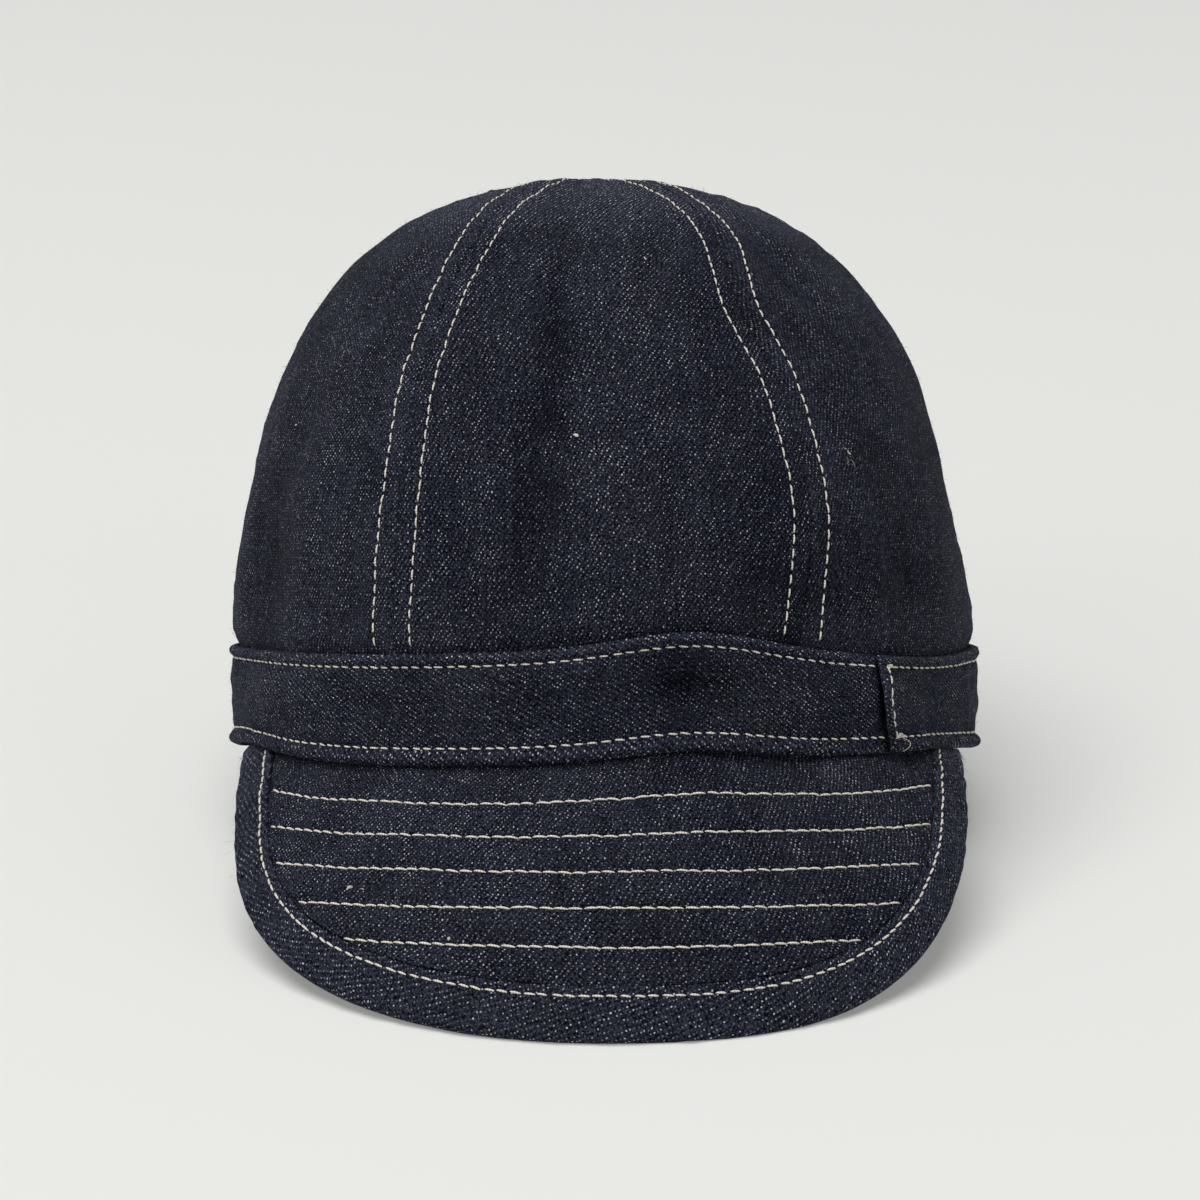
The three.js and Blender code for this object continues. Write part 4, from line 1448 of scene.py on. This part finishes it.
def nap_on(face, azimuth, place, degree, random):
    """Centre lines of short fibres that stand up from a cloth face and soften its outline."""
    count = len(azimuth)
    share = np.linspace(0, 1, NAP_RINGS)[None, :]
    height = np.minimum(random.gamma(2.0, 0.2, (count, 1)), FIBRE_REACH)
    lean = random.uniform(0.1, 1.1, (count, 1)) * height
    turn = random.uniform(0, 2 * np.pi, (count, 1))
    sideways = lean * np.cos(turn) * share**1.5
    along = lean * np.sin(turn) * share**1.5
    off = height * share - FIBRE_ROOT
    centres = rest(face(azimuth[:, None] + sideways / degree, place[:, None] + along, off))
    across = unit(rest(face(azimuth + 0.5, place, 0.0)) - rest(face(azimuth, place, 0.0)))
    radii = NAP_RADIUS * random.uniform(0.7, 1.1, (count, 1)) * (1 - 0.6 * share)
    return centres, across, radii


def lower_starts(random, band_count, peak_count, binding_count):
    """Starts of fibres on the band, the peak and its binding, each with its face and its scale."""
    around = BAND_END + random.uniform(0.5, 359, band_count)
    heights = random.uniform(0.2, BAND_HEIGHT - 0.2, band_count)
    azimuths = random.uniform(-PEAK_SPREAD + 4, PEAK_SPREAD - 4, peak_count)
    bound = peak_reach(azimuths, BINDING_WIDTH, BINDING_SIDE_SHARE)
    reaches = random.uniform(1, 50, peak_count)
    kept = reaches < bound - 1
    rim = peak_azimuths(PEAK_SPREAD - 2, binding_count)
    start, fold = binding_start(rim), peak_reach(rim, 0, 1)
    across = mix(start, fold - 0.6, random.uniform(0.02, 1, binding_count))
    return [
        (band_face, around, heights, BAND_DEGREE),
        (peak_face(1), azimuths[kept], reaches[kept], PEAK_MIDDLE_DEGREE),
        (binding_face(1), rim, across, PEAK_RIM_DEGREE),
    ]


def fuzz(material):
    """Fibres lying on the cloth and a nap standing on it."""
    random = np.random.default_rng(FUZZ_SEED)
    kinds = [
        ("fuzz", fibres_on, CROWN_FIBRES, LOWER_FIBRES),
        ("nap", nap_on, CROWN_NAP, LOWER_NAP),
    ]
    for kind, grow, count, _ in kinds:
        starts = crown_fibre_starts(random, count)
        grown = grow(crown_cloth_face, *starts, CROWN_DEGREE, random)
        tubes("crown_" + kind, *grown, material, "denim", FIBRE_SIDES)
    for kind, grow, _, counts in kinds:
        grown = [grow(*start, random) for start in lower_starts(random, *counts)]
        tubes("band_and_peak_" + kind, *gathered(grown), material, "denim", FIBRE_SIDES)


def lint(material):
    """Short spindles of unspun cotton caught in the cloth."""
    random = np.random.default_rng(LINT_SEED)
    share = np.linspace(-0.5, 0.5, STITCH_RINGS)
    swell = np.sqrt(np.clip(1 - (1.9 * share) ** 2, 0.05, 1))
    centres, outwards, radii = [], [], []
    for cloth, azimuth, place, length, radius, heading in LINT:
        if cloth == "crown":
            face, degree, up = crown_cloth_face, CROWN_DEGREE, 1
            place = np.interp(place, height_at(CLIMBS), CLIMB_LENGTHS)
        else:
            face, degree, up = peak_face(1), PEAK_MIDDLE_DEGREE, -1
        turn = radians(heading) + random.normal(0, 0.5) * share
        sideways = azimuth + length * share * np.cos(turn) / degree
        upwards = length * share * np.sin(turn) * up
        bent = radius * (0.35 + random.uniform(-0.4, 0.4, STITCH_RINGS))
        centres.append(rest(face(sideways, place + upwards, bent)))
        outwards.append(outward_at(face, np.array([azimuth]), np.array([place]))[0])
        radii.append(radius * swell * random.uniform(0.75, 1.15, STITCH_RINGS))
    parts = [np.array(part) for part in (centres, outwards, radii)]
    tubes("lint", *parts, material, "denim", LINT_SIDES, LINT_FLATNESS)


TAIL_RINGS = 18
TAIL_TOP = 3.0
TAIL_DROP = 2.9
TAIL_RADIUS = 0.08


def thread_tail(material):
    """The loose end of the band's seam thread."""
    share = np.linspace(0, 1, TAIL_RINGS)
    azimuth = BAND_END + 2.5 + 0.4 * np.sin(np.pi * 1.3 * share)
    height = TAIL_TOP - TAIL_DROP * share
    centres = rest(band_face(azimuth, height, 0.2 + 0.4 * np.sin(np.pi * share)))[None]
    outward = outward_at(band_face, azimuth[:1], height[:1])
    radii = np.full((1, TAIL_RINGS), TAIL_RADIUS)
    tubes("thread_tail", centres, outward, radii, material, "stitching")


# Stage: sizes in metres

SWEEP_FLAT = 3.0
SWEEP_RADIUS = 3.2
SWEEP_CURVE = 0.9
SWEEP_STEPS = 31
SWEEP_SIDES = 96
FLOOR_COLOUR = (0.6, 0.604, 0.589, 1)
FLOOR_GLOW = (0.97, 0.985, 0.96, 1)
SKY_COLOUR = (0.95, 0.96, 0.95, 1)
SKY_STRENGTH = 0.2
LIT_POINT = (0, 0, 0.08)
LIGHTS = [
    # name, place, size, power, colour
    ("overhead", (-0.9, -0.8, 4.9), 4.6, 226, (1.0, 0.998, 0.985)),
    ("key", (-1.5, -1.6, 1.6), 1.2, 8, (1.0, 0.995, 0.975)),
    ("fill", (1.6, -1.7, 1.0), 1.4, 3.6, (0.97, 0.985, 1.0)),
]


def place_facing(name, data, place, direction):
    """Puts a camera or a light in the scene, facing along a direction."""
    seat = bpy.data.objects.new(name, data)
    seat.location = place
    seat.rotation_mode = "QUATERNION"
    seat.rotation_quaternion = direction.to_track_quat("-Z", "Y")
    bpy.context.scene.collection.objects.link(seat)
    return seat


def make_camera():
    view = Vector((0, cosine(CAMERA_PITCH), -sine(CAMERA_PITCH)))
    up = Vector((0, sine(CAMERA_PITCH), cosine(CAMERA_PITCH)))
    target = Vector((AIM_SIDE, -FOOTPRINT_MIDDLE, float(RIM_RISE))) + up * AIM_UP
    camera = bpy.data.cameras.new("camera")
    camera.sensor_width = SENSOR
    camera.lens = PIXELS_PER_MM * CAMERA_DISTANCE / PHOTO_WIDTH * SENSOR
    camera.clip_start = 0.05
    camera.clip_end = 50
    place = (target - view * CAMERA_DISTANCE) * METRES
    bpy.context.scene.camera = place_facing("camera", camera, place, view)


def make_floor():
    """A pale sweep of milky acrylic, faintly lit from below as well, that curves up all round."""
    rise = np.concatenate([[0], np.linspace(0, 90, SWEEP_STEPS)])[:, None]
    around = np.linspace(0, 360, SWEEP_SIDES, endpoint=False)[None, :]
    radius = SWEEP_RADIUS + SWEEP_CURVE * sine(rise)
    radius[0] = SWEEP_FLAT
    points = stack(radius * cosine(around), radius * sine(around), SWEEP_CURVE * (1 - cosine(rise)))
    index = np.arange(points[..., 0].size).reshape(points.shape[:2])
    after = np.roll(index, -1, axis=1)
    faces = np.stack([index[:-1], index[1:], after[1:], after[:-1]], axis=-1).reshape(-1, 4)
    mesh = bpy.data.meshes.new("floor")
    mesh.from_pydata(points.reshape(-1, 3).tolist(), [], [index[0].tolist()] + faces.tolist())
    mesh.polygons.foreach_set("use_smooth", np.ones(len(mesh.polygons), bool))
    looks = {"Base Color": FLOOR_COLOUR, "Emission Color": FLOOR_GLOW, "Emission Strength": 0.21}
    looks.update({"Roughness": 0.8, "Specular IOR Level": 0.2})
    mesh.materials.append(Nodes("floor").dress(looks))
    floor = bpy.data.objects.new("floor", mesh)
    bpy.context.scene.collection.objects.link(floor)


def make_lights():
    for name, place, size, power, colour in LIGHTS:
        light = bpy.data.lights.new(name, "AREA")
        light.shape = "DISK"
        light.size = size
        light.energy = power
        light.color = colour
        place_facing(name, light, place, Vector(LIT_POINT) - Vector(place))
    world = bpy.data.worlds.new("studio")
    world.use_nodes = True
    background = world.node_tree.nodes["Background"]
    background.inputs[0].default_value = SKY_COLOUR
    background.inputs[1].default_value = SKY_STRENGTH
    bpy.context.scene.world = world
    bpy.context.scene.view_settings.view_transform = "Standard"


make_camera()
make_floor()
make_lights()

denim = denim_material("washed_denim")
denim_lengthways = denim_material("washed_denim_lengthways", warp_level=True)
denim_quilted = denim_material("washed_denim_quilted", scatter=1.2)
thread = thread_material()

for place in range(len(GORES)):
    gore(place, denim)
band(denim_lengthways)
peak(denim_quilted)
binding(denim)
crown_stitches(thread)
band_stitches(thread)
peak_stitches(thread)
binding_stitches(thread)
fuzz(cotton_material("blue_fuzz", BLUE_COTTON, DEEP_BLUE_COTTON, 0.8))
lint(cotton_material("pale_lint", PALE_COTTON, SHADED_COTTON, 0.9))
thread_tail(thread)
